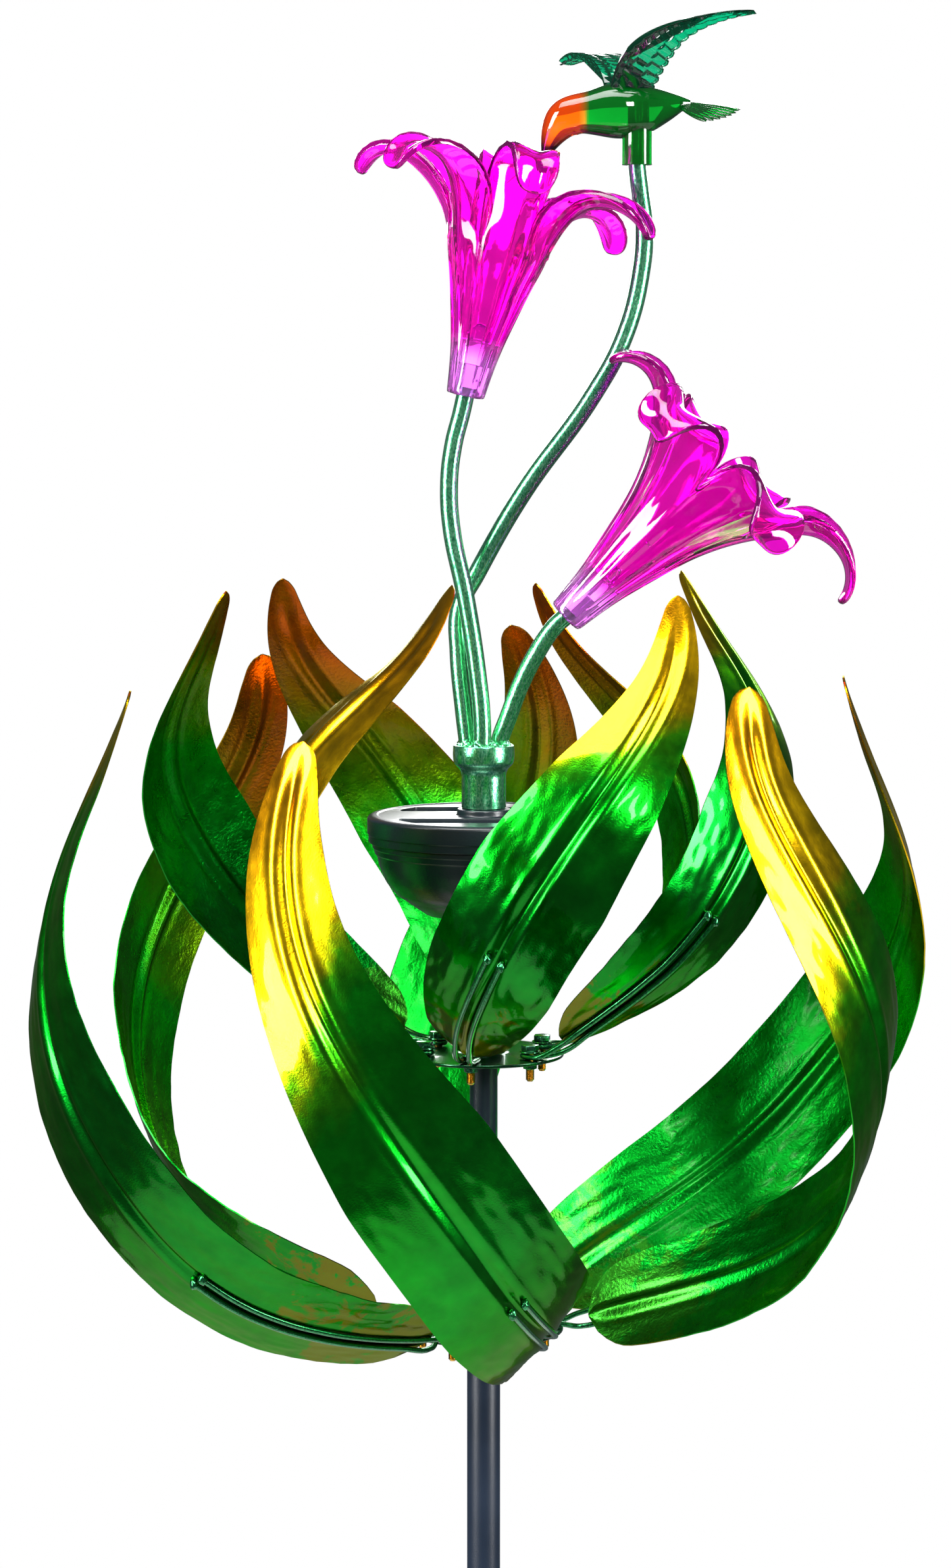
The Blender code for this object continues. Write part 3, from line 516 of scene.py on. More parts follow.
def blobPiece(center, size, seed, rough=0.22):
    # a small lump of weld
    deselectAll()
    bpy.ops.mesh.primitive_ico_sphere_add(subdivisions=3, radius=1)
    blob = bpy.context.object
    for vertex in blob.data.vertices:
        lump = 1 + rough * noise.noise(vertex.co * 1.7 + Vector((seed, 0, 0)))
        vertex.co = Vector(center) + Vector((vertex.co.x * size[0], vertex.co.y * size[1],
                                             vertex.co.z * size[2])) * lump
    return blob


def buildArm(label, tier, index):
    # a hairpin of round rod: the bend goes round the hub bolt, both legs are welded along the leaf's outer face
    matrix = leafSetting(tier, index)
    bolt, turn = boltPlace(tier, index)
    outward, sideways = Vector((cos(turn), sin(turn), 0)), Vector((-sin(turn), cos(turn), 0))
    level = tier["discTop"] + 0.3 + armLook["rod"]
    shares = np.array([armLook["share"][label], 0.165, 0.13, 0.1, 0.075, tier["start"] + 0.02,
                       tier["start"] - 0.006])
    here, width, out = leafFrame(tier, shares)
    legs = []
    for leg in (1, -1):
        line = placed(matrix, here + width * leg * armLook["apart"] + out * 2.3)
        knee = bolt + outward * 9 + sideways * (leg * tier["hand"] * -armLook["apart"])
        legs.append([Vector(p) for p in line] + [Vector((knee.x, knee.y, level + 0.4))])
    bend = []
    for k in range(7):
        a = -pi / 2 + pi * k / 6
        spot = bolt - outward * (armLook["apart"] * cos(a)) + sideways * (armLook["apart"] * sin(a))
        bend.append(Vector((spot.x, spot.y, level)))
    if (legs[0][-1] - bend[0]).length > (legs[0][-1] - bend[-1]).length:
        bend.reverse()
    path = [p * mm for p in [*legs[0], *bend, *reversed(legs[1])]]
    rod = tubePiece(path, armLook["rod"] * mm, sides=3, parts=6)
    size = armLook["weld"] * mm
    welds = [blobPiece(path[k], (size * 0.8, size * 0.8, size), index * 3.1 + k) for k in (0, -1)]
    finishPiece(joined([rod, *welds]), f"{label}Arm{index + 1}", [rodPaint], label + "_rotor",
                [f"{label}_arm_{index + 1}"], smoothAngle=60)


hubLook = {"disc": 48, "thick": 2, "collar": 14, "bushWall": 4, "collarWall": 2.7,
           "axle": {"lower": 8.35, "upper": 6.0}}
boltLook = {"head": 5.4, "headTall": 3.6, "washer": 6.3, "shank": 2.4, "nut": 4.2, "nutTall": 3.6, "pitch": 0.8,
            "tail": 10.2}


def buildBolt(label, tier, index):
    bolt, turn = boltPlace(tier, index)
    top = tier["discTop"]
    clamp = top + 0.6 + 2 * armLook["rod"]
    under = top - hubLook["thick"] - 0.3
    x, y = bolt.x * mm, bolt.y * mm
    heads = []
    for radius, low, tall, rim in ((boltLook["head"], clamp + 0.9, boltLook["headTall"], 0.45),
                                   (boltLook["nut"], under - boltLook["nutTall"], boltLook["nutTall"], 0.35)):
        heads.append(cylinderPiece(radius, tall, (bolt.x, bolt.y, low + tall / 2), 6, turn + 0.3 * index))
        applyModifier(heads[-1], "BEVEL", width=rim * mm, segments=3, limit_method="ANGLE")
    washer = spunPiece([(onAxis, clamp), (6.0, clamp), (boltLook["washer"], clamp + 0.25), (6.0, clamp + 0.9),
                        (onAxis, clamp + 0.9)], 32, (x, y))
    profile = [(onAxis, clamp), (boltLook["shank"], clamp)]
    z = under - 0.2
    while z > under - boltLook["tail"]:
        profile += [(boltLook["shank"] + 0.25, z), (boltLook["shank"] - 0.2, z - boltLook["pitch"] / 2)]
        z -= boltLook["pitch"]
    profile += [(1.6, z - 0.5), (onAxis, z - 0.5)]
    shank = spunPiece(profile, 24, (x, y))
    for part, which in ((heads[0], 0), (heads[1], 0), (washer, 0), (shank, 1)):
        part.data.materials.clear()
        part.data.materials.append(boltPaint)
        part.data.materials.append(brassThread)
        for polygon in part.data.polygons:
            polygon.material_index = which
    made = joined([heads[0], heads[1], washer, shank])
    indices = [p.material_index for p in made.data.polygons]
    finishPiece(made, f"{label}Bolt{index + 1}", [boltPaint, brassThread], label + "_rotor",
                [f"{label}_bolt_{index + 1}"], smoothAngle=40)
    for polygon, which in zip(made.data.polygons, indices):
        polygon.material_index = which


def buildHub(label, tier):
    bore = hubLook["axle"][label] + 0.08
    bush = bore + hubLook["bushWall"]
    inner, top, thick = bush + 0.3, tier["discTop"], hubLook["thick"]
    outer, tall = inner + hubLook["collarWall"], top + hubLook["collar"]
    profile = roundedProfile([(inner, top - thick), (hubLook["disc"], top - thick, 0.8),
                              (hubLook["disc"], top, 0.8),
                              (outer, top, 3.0), (outer, tall, 0.6), (inner, tall, 0.4), (inner, top - thick)],
                             0.6)
    disc = spunPiece(profile, 128)
    finishPiece(disc, label + "HubDisc", [hubPaint], label + "_rotor", [label + "_hub"])
    profile = roundedProfile([(bore, top - thick), (bush, top - thick, 0.3), (bush, tall + 0.3, 0.1),
                              (outer - 0.4, tall + 0.3, 0.3), (outer - 0.4, tall + 1.6, 0.4),
                              (bore, tall + 1.6, 0.3),
                              (bore, top - thick)], 0.3)
    ring = spunPiece(profile, 96)
    finishPiece(ring, label + "BearingRing", [zincSteel], label + "_rotor", [label + "_bearing"])


hubPaint = speckledPaint("hubGreenBlackEnamel", "#0A3A22", "#1E7A48", "#04140E")
boltPaint = speckledPaint("boltPaintedSteel", "#1C6A44", "#7FC8A0", "#08281C")


def plainMetal(name, color, rough, scale, darker=0.72):
    # machined metal: fine grain that varies both tone and gloss
    made, add, shader, place = newMaterial(name, {"Metallic": 1.0, "Roughness": rough})
    grain = add("TexNoise", {"Scale": scale, "Detail": 4.0}, {"Vector": place})
    ramp = add("ValToRGB", links={0: grain})
    full = toLinear(color)
    rampStops(ramp, [(0.3, tuple(c * darker for c in full[:3]) + (1,)), (0.7, full)])
    feed(shader, {"Base Color": ramp})
    gloss = add("MapRange", {"To Min": rough * 0.8, "To Max": rough * 1.3}, {"Value": grain})
    feed(shader, {"Roughness": gloss})
    return made


brassThread = plainMetal("brassCutThread", "#D8A848", 0.28, 700)
zincSteel = plainMetal("steelZincPlated", "#B8BCC0", 0.32, 500)

for label, tier in leafTiers.items():
    buildHub(label, tier)
    for index in range(6):
        buildArm(label, tier, index)
        buildBolt(label, tier, index)
print("arms, hubs and bolts fitted")


# ---- pole, axle and ground fork

def powderCoat(name, color, rough, peel=0.25, scale=1400):
    # polyester powder baked on steel: satin, with a fine orange peel
    made, add, shader, place = newMaterial(name, {"Roughness": rough, "IOR": 1.5, "Coat Weight": 0.15,
                                                  "Coat Roughness": 0.25})
    cloud = add("TexNoise", {"Scale": 35.0, "Detail": 4.0}, {"Vector": place})
    ramp = add("ValToRGB", links={0: cloud})
    full = toLinear(color)
    rampStops(ramp, [(0.3, tuple(c * 0.75 for c in full[:3]) + (1,)), (0.7, full)])
    feed(shader, {"Base Color": ramp})
    grain = add("TexNoise", {"Scale": scale, "Detail": 2.0}, {"Vector": place})
    bump = add("Bump", {"Strength": peel, "Distance": 0.0003}, {"Height": grain})
    feed(shader, {"Normal": bump})
    gloss = add("MapRange", {"To Min": rough * 0.85, "To Max": rough * 1.2}, {"Value": cloud})
    feed(shader, {"Roughness": gloss})
    return made


polePaint = powderCoat("polePowderCoatNavy", "#0E1A2A", 0.36)
blackAbs = powderCoat("housingMouldedAbs", "#0C1A20", 0.34, 0.3, 900)
blackRubber = powderCoat("buttonMouldedRubber", "#101214", 0.75, 0.5, 1200)
forkPaint = powderCoat("forkPowderCoatNavy", "#121C2A", 0.42)

poleLook = {"radius": 10, "joint": 500, "top": 935, "axle": 8.35, "spindle": 6, "shoulder": 1103,
            "spindleTop": 1213,
            "forkHalf": 62, "prong": 20, "prongDeep": 185, "prongThick": 5, "crossbar": 20, "socket": 13.5,
            "socketTop": 95}


def buildPole():
    look = poleLook
    r, joint, top = look["radius"], look["joint"], look["top"]
    neck, bore = r - 1.6, r - 1.3
    lower = roundedProfile([(bore, 22.3), (r, 22.3, 0.4), (r, joint, 0.5), (neck, joint, 0.1),
                            (neck, joint + 60, 1.0),
                            (neck - 1.3, joint + 60, 0.3), (neck - 1.3, joint - 20), (bore, joint - 30),
                            (bore, 22.3)], 0.3)
    finishPiece(spunPiece(lower, 72), "poleLowerTube", [polePaint], "frame",
                ["pole_lower"])
    upper = roundedProfile([(bore, joint + 0.3), (r, joint + 0.3, 0.5), (r, top, 1.2),
                            (look["axle"] + 0.1, top, 0.3),
                            (look["axle"] + 0.1, top - 70, 0), (bore, top - 75, 0), (bore, joint + 0.3)], 0.3)
    finishPiece(spunPiece(upper, 72), "poleUpperTube", [polePaint], "frame",
                ["pole_upper"])
    axle, spindle, shoulder = look["axle"], look["spindle"], look["shoulder"]
    inside = spindle - 1.2
    rod = roundedProfile([(inside, top - 68), (axle, top - 68, 0.8), (axle, shoulder, 0.6),
                          (spindle, shoulder, 0.4),
                          (spindle, look["spindleTop"], 0.4), (inside, look["spindleTop"], 0.3),
                          (inside, top - 68)], 0.3)
    finishPiece(spunPiece(rod, 72), "axleTube", [polePaint], "frame", ["axle_tube"])


def buildFork():
    look = poleLook
    half, wide, tall, deep = look["forkHalf"], look["prong"], look["crossbar"], look["prongDeep"]
    outline = [(half, tall), (-half, tall), (-half, -0.7 * deep), (-half + 3, -deep), (-half + 6, -deep),
               (-half + wide, 0), (half - wide, 0), (half - 6, -deep), (half - 3, -deep), (half, -0.7 * deep)]
    thick = look["prongThick"]
    plate = extrudedPiece([(x, -thick / 2, z) for x, z in outline], (0, thick, 0))
    applyModifier(plate, "BEVEL", width=0.8 * mm, segments=3, limit_method="ANGLE")
    socket = look["socket"]
    bore = look["radius"] + 0.3
    profile = roundedProfile([(bore, 6), (socket, 6, 0.6), (socket, look["socketTop"], 1.2),
                              (bore, look["socketTop"], 0.6),
                              (bore, 6)], 0.5)
    tube = spunPiece(profile, 72)
    welds = []
    for side in (-1, 1):
        for k in range(11):
            a, reach = radians(-50 + 10 * k), socket + 0.4
            spot = (side * reach * cos(a) * mm, reach * sin(a) * mm, tall * mm)
            welds.append(blobPiece(spot, (1.9 * mm, 1.9 * mm, 1.5 * mm), side * 9 + k))
    finishPiece(joined([plate, tube, *welds]), "groundForkWelded", [forkPaint], "frame", ["ground_fork"])


buildPole()
buildFork()
print("pole and fork made")

# ---- solar housing

housingLook = {"lid": 69.4, "lidTop": 1248.5, "lidFoot": 1232.7, "bossTop": 1252.5, "board": 1244.2,
               "switchY": 22,
               "hole": 4.3, "floor": 1189, "rimRound": 3.2, "windowRound": 2.2}


def buildHousing():
    look = housingLook
    floor = look["floor"]
    outside = [(6.3, floor), (34, floor, 1.5), (44.3, 1196, 2), (46, 1197.3, 0.8), (52.1, 1201.2, 3),
               (58.4, 1208.7, 4),
               (62.0, 1217.5, 3), (63.9, 1225.2, 1.0), (65.0, 1225.9, 0.4), (65.6, 1229, 0.4),
               (66.4, 1229.6, 0.4), (66.4, 1232.4, 0.4)]
    within = [(64.2, 1232.4, 0.4), (61.9, 1225.6, 1), (56.5, 1209.8, 3), (50.9, 1203, 3), (43.5, 1198.2, 2),
              (33.2, floor + 2, 1.5), (6.3, floor + 2, 0.2), (6.3, floor)]
    bowl = spunPiece(roundedProfile(outside + within, 0.6), 128)
    combine(bowl, cylinderPiece(look["hole"], 12, (0, look["switchY"], floor)))
    finishPiece(bowl, "housingBowlMoulded", [blackAbs], "frame", ["housing_bowl"], smoothAngle=30)
    top, foot = look["lidTop"], look["lidFoot"]
    rim, skin = look["lid"], top - 3.5
    profile = [(9, skin), (9, look["bossTop"], 0.5), (16, look["bossTop"], 1.2), (16, top, 1.2),
               (rim - 6.5, top, 1.5),
               (rim - 5.6, top + 0.7, 0.5), (rim - 2.6, top + 0.5, 1.0), (rim, top - 1.0, look["rimRound"]),
               (rim, foot + 5.2, 0.4),
               (rim - 0.7, foot + 4.7, 0.4), (rim - 0.7, foot, 0.8), (rim - 2.6, foot, 0.5),
               (rim - 2.6, skin, 0.5), (9, skin)]
    lid = spunPiece(roundedProfile(profile, 0.5), 128)
    for side in (1, -1):
        outline = [(50, 20), (50, 29), (41, 43), (-41, 43), (-50, 29), (-50, 20)]
        cutter = extrudedPiece([(x, side * y, top - 8) for x, y in outline], (0, 0, 14))
        applyModifier(cutter, "BEVEL", width=look["windowRound"] * mm, segments=4, limit_method="ANGLE")
        combine(lid, cutter)
    applyModifier(lid, "BEVEL", width=0.35 * mm, segments=2, limit_method="ANGLE", angle_limit=radians(50))
    finishPiece(lid, "housingLidMoulded", [blackAbs], "frame", ["housing_lid"], smoothAngle=30)
    y = look["switchY"] * mm
    profile = roundedProfile([(onAxis, floor - 2.5), (3.9, floor - 2.5, 1.0), (3.9, floor + 2.3, 0),
                              (5.6, floor + 2.3, 0.3),
                              (5.6, floor + 3.6, 0.3), (onAxis, floor + 3.6)], 0.3)
    button = spunPiece(profile, 48, (0, y))
    finishPiece(button, "switchButtonRubber", [blackRubber], "switch", ["switch_button"])


def solarFilm():
    # blue-black silicon under epoxy, with silver collector lines 2.6 mm apart and bus bars across them
    made, add, shader, place = newMaterial("solarSiliconUnderEpoxy",
                                           {"Roughness": 0.12, "IOR": 1.52, "Coat Weight": 1.0,
                                            "Coat Roughness": 0.03})
    split = add("SeparateXYZ", links={0: place})
    lines = []
    for axis, pitch, wide in (("X", 0.0026, 0.07), ("Y", 0.0185, 0.05)):
        scaled = add("Math", {"operation": "DIVIDE", 1: pitch}, {0: split.outputs[axis]})
        part = add("Math", {"operation": "FRACT"}, {0: scaled})
        lines.append(add("Math", {"operation": "LESS_THAN", 1: wide}, {0: part}))
    both = add("Math", {"operation": "MAXIMUM"}, {0: lines[0], 1: lines[1]})
    crystal = add("TexVoronoi", {"Scale": 160.0}, {"Vector": place})
    ramp = add("ValToRGB", links={0: crystal.outputs["Color"]})
    rampStops(ramp, [(0.0, "#060C22"), (1.0, "#12204A")])
    mix = add("Mix", {"data_type": "RGBA", 7: toLinear("#9AA4AE")}, {0: both, 6: ramp})
    feed(shader, {"Base Color": mix.outputs[2]})
    return made


def batterySleeve():
    # shrink sleeve printed green
    made, add, shader, place = newMaterial("batteryShrinkSleeve", {"Roughness": 0.35, "IOR": 1.5})
    cloud = add("TexNoise", {"Scale": 120.0}, {"Vector": place})
    ramp = add("ValToRGB", links={0: cloud})
    rampStops(ramp, [(0.3, "#1E6A3A"), (0.7, "#2C8A4C")])
    feed(shader, {"Base Color": ramp})
    return made


buildHousing()
for name, made in (("solar_panel", solarFilm()), ("battery", batterySleeve())):
    bpy.data.objects[name].data.materials.clear()
    bpy.data.objects[name].data.materials.append(made)
print("solar housing made")

# ---- stems and their ferrule

stemLook = {
    "radius": 5.35,
    "bird": ((-9, 4, 1287.2), (-12, 5, 1312), (-15, 7, 1345), (-14.5, 9, 1371), (-4, 11, 1392), (23, 10, 1439),
             (65, 8, 1498),
             (83, 8, 1532), (93, 9, 1571), (94.5, 8, 1597), (92, 5.5, 1616), (90, 4, 1633), (90, 4, 1650),
             (90, 4, 1666)),
    "upper_lily": ((-1, -6, 1287.2), (-1, -6, 1304), (-4, -5, 1335), (-11, -5, 1380), (-19, -5, 1419),
                   (-20.5, -5, 1445),
                   (-18, -5, 1468)),
    "lower_lily": ((8.5, 0, 1287.2), (9.5, -0.5, 1293), (14.5, -2, 1307), (22, -4, 1327), (31, -6, 1345)),
}
lilyLook = {
    "upper": {"base": (-11, -5, 1497), "lean": 12.5, "nod": 3, "throat": 84, "wide": 1.38},
    "lower": {"base": (48, -8, 1367.2), "lean": 46, "nod": 6, "throat": 124, "wide": 1.0},
    "wall": 3.8, "columns": 20, "rows": 72, "cup": 11.5, "ruffle": 0.7,
}


def lilyPlace(which):
    look = lilyLook[which]
    return (Matrix.Translation(Vector(look["base"])) @ Matrix.Rotation(radians(look["lean"]), 4, "Y")
            @ Matrix.Rotation(radians(look["nod"]), 4, "X"))


def buildStems():
    for label in ("bird", "upper_lily", "lower_lily"):
        path = [Vector(p) for p in stemLook[label]]
        if label != "bird":
            place = lilyPlace(label.split("_")[0])
            path += [place @ Vector((0, 0, z)) for z in (-9, 0, 6)]
        stem = tubePiece([p * mm for p in path], stemLook["radius"] * mm, sides=8, parts=10)
        finishPiece(stem, f"stem{label.title().replace('_', '')}", [stemPaint], "frame", ["stem_" + label])
    profile = roundedProfile([(2.5, 1280), (10.5, 1276, 0.3), (10.5, 1252.8, 0.4), (13.3, 1252.8, 0.6),
                              (13.3, 1273, 3),
                              (14.4, 1276, 1.5), (18.0, 1279.5, 2), (18.4, 1285, 1.0), (18.1, 1290.5, 1.2),
                              (16.6, 1290.5, 0.8),
                              (16.2, 1286, 0.5), (2.5, 1286, 0.3), (2.5, 1280)], 0.5)
    cup = spunPiece(profile, 96)
    welds = []
    for seed, label in enumerate(("bird", "upper_lily", "lower_lily"), 1):
        foot = stemLook[label][0]
        for k in range(9):
            a = tau * k / 9 + seed
            spot = (foot[0] + 5.6 * cos(a), foot[1] + 5.6 * sin(a), 1289.0 + 1.6 * sin(3 * a + seed))
            if spot[0] ** 2 + spot[1] ** 2 < 16.8 ** 2:
                welds.append(blobPiece([c * mm for c in spot], (2.9 * mm, 2.9 * mm, 3.0 * mm), seed * 10 + k,
                                       0.4))
    finishPiece(joined([cup, *welds]), "ferruleWelded", [stemPaint], "frame", ["socket_ferrule"],
                smoothAngle=60)


buildStems()
print("stems bent")

# ---- lilies

# each petal: its turn in degrees, its slope in degrees at distances in mm past the throat, its length past it
petalSets = {
    "upper": (
        (-22, ((0, 18.4), (20, 22), (35, 36), (47, 62), (60, 90), (75, 116), (92, 150)), 90),
        (38, ((0, 18.4), (20, 32), (35, 55), (50, 88), (65, 125), (80, 165)), 82),
        (98, ((0, 18.4), (25, 16), (45, 30), (60, 70), (75, 130), (90, 170)), 86),
        (158, ((0, 18.4), (20, 32), (38, 48), (55, 64), (70, 86), (80, 122), (90, 160)), 96),
        (216, ((0, 18.4), (25, 18), (42, 32), (60, 66), (75, 100), (88, 146), (98, 180)), 96),
        (283, ((0, 18.4), (18, 10), (40, 6), (56, 14), (66, 70), (75, 135), (92, 172)), 94),
    ),
    "lower": (
        (-62, ((0, 38), (14, 46), (26, 66), (36, 98), (48, 150), (60, 205)), 58),
        (-2, ((0, 36), (10, 37), (22, 46), (34, 72), (47, 98), (60, 130), (74, 166)), 76),
        (66, ((0, 34), (12, 46), (22, 80), (32, 124), (42, 165)), 38),
        (112, ((0, 34), (12, 46), (22, 80), (32, 124), (42, 165)), 38),
        (180, ((0, 36), (10, 46), (20, 62), (29, 84), (40, 118), (52, 160)), 52),
        (231, ((0, 34), (12, 38), (22, 56), (32, 100), (42, 160), (54, 235)), 54),
    ),
}
funnel = ((0, 11.2), (15, 12.8), (33, 15.6), (52, 20), (75, 26), (93, 33), (108, 41), (122, 50.5))


def petalLine(slopes, throat):
    # distance along, radius, height and slope of a petal's middle line, each half millimetre
    step = 0.5
    at = np.arange(0, throat + 110, step)
    heights, radii = np.array(funnel, float).T
    lengths = np.concatenate([[0], np.cumsum(np.hypot(np.diff(heights), np.diff(radii)))])
    near = np.minimum(at + 0.5, throat)
    rise = naturalSpline(lengths, radii, near) - naturalSpline(lengths, radii, near - 1)
    angle = np.arcsin(np.clip(rise, -1, 1))
    past, turned = np.array(slopes, float).T
    beyond = np.clip(at - throat, 0, past[-1])
    angle = np.where(at <= throat, angle, np.radians(naturalSpline(past, turned, beyond)))
    radius = radii[0] + np.concatenate([[0], np.cumsum(np.sin(angle[:-1]))]) * step
    height = np.concatenate([[0], np.cumsum(np.cos(angle[:-1]))]) * step
    return at, radius, height, angle


def lilyPoint(which, petal, line, across, along):
    # across -1 to 1 over the petal, along 0 to 1 from the foot to the petal's own rim
    throat = lilyLook[which]["throat"]
    at, radius, height, angle = line
    reach = throat + 1 + petal[2] * max(0.0, 1 - abs(across) ** 3.6) ** 0.5
    s = along * reach
    r, h, slope = (float(np.interp(s, at, values)) for values in (radius, height, angle))
    r0 = float(np.interp(min(s, throat), at, radius))
    turns = [other[0] for other in petalSets[which]]
    beside = turns[(turns.index(petal[0]) + (1 if across > 0 else -1)) % len(turns)]
    spread = radians(abs((beside - petal[0] + 180) % 360 - 180) / 2) * across
    past = max(0.0, s - throat)
    grown = 1 + (lilyLook[which]["wide"] - 1) * sin(min(past / 60, 1) * pi / 2)
    side = r0 * sin(spread) * grown
    ahead = r - r0 * (1 - cos(spread))
    ease = min(past / 30, 1)
    ease = ease * ease * (3 - 2 * ease)
    cup = -lilyLook["cup"] * across ** 2 * ease * (1 - 0.1 * min(past / 90, 1))
    flute = 0.6 * cos(across * pi * 2) * min(s / 40, 1) * (1 - 0.4 * ease)
    ruffle = lilyLook["ruffle"] * sin(past / 5.5 + petal[0]) * abs(across) ** 3 * ease
    push = cup + flute + ruffle
    ahead += cos(slope) * push
    up = h - sin(slope) * push
    turn = radians(petal[0])
    return Vector((ahead * cos(turn) - side * sin(turn), ahead * sin(turn) + side * cos(turn), up))


def buildLily(which):
    petals = petalSets[which]
    columns, rows = lilyLook["columns"], lilyLook["rows"]
    place = lilyPlace(which)
    lines = [petalLine(petal[1], lilyLook[which]["throat"]) for petal in petals]
    points = {}
    for k, petal in enumerate(petals):
        for i in range(columns + 1):
            x = 2 * i / columns - 1
            across = sin(pi / 2 * x)
            for j in range(rows + 1):
                points[k * columns + i, j, i == columns] = lilyPoint(which, petal, lines[k], across,
                                                                     (j / rows) ** 0.92)
    total = len(petals) * columns
    flower = gridPiece(total, rows, lambda u, v: Vector())
    wide = total + 1
    for j in range(rows + 1):
        for c in range(wide):
            k = c % total
            own = points[k, j, False]
            if k % columns == 0:
                # the point shared by two petals is the mean of both
                other = points[((k // columns) - 1) % len(petals) * columns + columns, j, True]
                own = (own + other) / 2
            flower.data.vertices[j * wide + c].co = place @ own * mm
    editWhole(flower, merged(0.00002))
    middle = flower.data.polygons[len(flower.data.polygons) // 3]
    axis = place @ Vector((0, 0, 40))
    spoke = middle.center - axis * mm
    along = place.to_3x3() @ Vector((0, 0, 1))
    outward = middle.normal.dot(spoke - along * spoke.dot(along)) > 0
    applyModifier(flower, "SOLIDIFY", thickness=lilyLook["wall"] * mm, offset=-1.0 if outward else 1.0)
    applyModifier(flower, "SUBSURF", levels=1, render_levels=1)
    editWhole(flower, merged(0.000002), faceOutwards)
    finishPiece(flower, which + "LilyMoulded", [lilyAcrylic], "frame", ["lily_" + which], smoothAngle=80)


def buildLamp(which):
    # the clear plug that holds the lamp, its collar and dome, and a few air bubbles left by the moulding
    place = lilyPlace(which)
    profile = roundedProfile([(5.8, 1), (7.6, 1, 0.4), (9.6, 20, 0.3), (10.9, 30, 0.8), (11.1, 33.5, 0.8),
                              (5.2, 33.5, 0.6),
                              (5.0, 38, 0.4), (4.8, 40, 2.0), (2.4, 43.5, 1.5), (onAxis, 44.2), (onAxis, 20),
                              (5.4, 20, 0.5), (5.8, 1)], 0.4)
    plug = spunPiece(profile, 64)
    bubbles = []
    for k in range(9):
        a, height = 2.39996 * k + 1.0, 12 + 6.5 * k
        across = 10.2 + 0.14 * height
        deselectAll()
        bpy.ops.mesh.primitive_uv_sphere_add(segments=16, ring_count=8, radius=(0.7 + 0.25 * sin(5 * k)) * mm,
                                             location=(across * cos(a) * mm, across * sin(a) * mm, height * mm))
        bubbles.append(bpy.context.object)
    whole = joined([plug, *bubbles])
    makeActive(whole)
    bpy.ops.object.transform_apply(location=True, rotation=True, scale=True)
    for vertex in whole.data.vertices:
        vertex.co = place @ (vertex.co / mm) * mm
    finishPiece(whole, which + "LilyLamp", [clearEpoxy], "frame", ["led_" + which], smoothAngle=40)


def tintedAcrylic(name, tint, thick, base=None, edge=0.7, depthOfDye=50.0):
    # cast acrylic dyed through: clear and glossy, darker where it is seen edge on
    made, add, shader, place = newMaterial(name, {"Roughness": 0.03, "IOR": 1.49, "Transmission Weight": 0.96,
                                                  "Specular IOR Level": 0.55})
    # the dye takes more of the light the further it goes through, so rims and folds look deeper
    dye = add("VolumeAbsorption", {"Color": toLinear(thick), "Density": depthOfDye})
    feed(made.node_tree.nodes["Material Output"], {"Volume": dye})
    facing = add("LayerWeight", {"Blend": 0.35})
    amount = add("Math", {"operation": "MULTIPLY", 1: edge}, {0: facing.outputs["Facing"]})
    color = add("Mix", {"data_type": "RGBA", 6: toLinear(tint), 7: toLinear(thick)}, {0: amount}).outputs[2]
    if base:
        # the dye thins out towards each flower's foot
        apart = [add("VectorMath", {"operation": "DISTANCE", 1: [c * mm for c in center]},
                     {0: place}).outputs["Value"]
                 for center in base]
        near = add("Math", {"operation": "MINIMUM"}, {0: apart[0], 1: apart[1]})
        fade = add("MapRange", {"From Min": 0.026, "From Max": 0.04}, {"Value": near})
        color = add("Mix", {"data_type": "RGBA", 6: toLinear("#E8A8F0")}, {0: fade, 7: color}).outputs[2]
    swirl = add("TexNoise", {"Scale": 45.0, "Detail": 2.0, "Distortion": 0.6}, {"Vector": place})
    depth = add("MapRange", {"From Min": 0.35, "From Max": 0.65, "To Min": 0.9, "To Max": 1.0},
                {"Value": swirl})
    toned = add("VectorMath", {"operation": "SCALE"}, {0: color, "Scale": depth})
    feed(shader, {"Base Color": toned})
    bump = add("Bump", {"Strength": 0.12, "Distance": 0.001}, {"Height": swirl})
    feed(shader, {"Normal": bump})
    return made, add, shader, place, toned


lilyAcrylic = tintedAcrylic("lilyCastAcrylicMagenta", "#FA02DC", "#A00064",
                            (lilyLook["upper"]["base"], lilyLook["lower"]["base"]))[0]
clearEpoxy = tintedAcrylic("lampClearEpoxy", "#F2DCF8", "#C8A0D8", depthOfDye=10.0)[0]
for which in ("upper", "lower"):
    buildLily(which)
    buildLamp(which)
print("lilies moulded")

# ---- bird

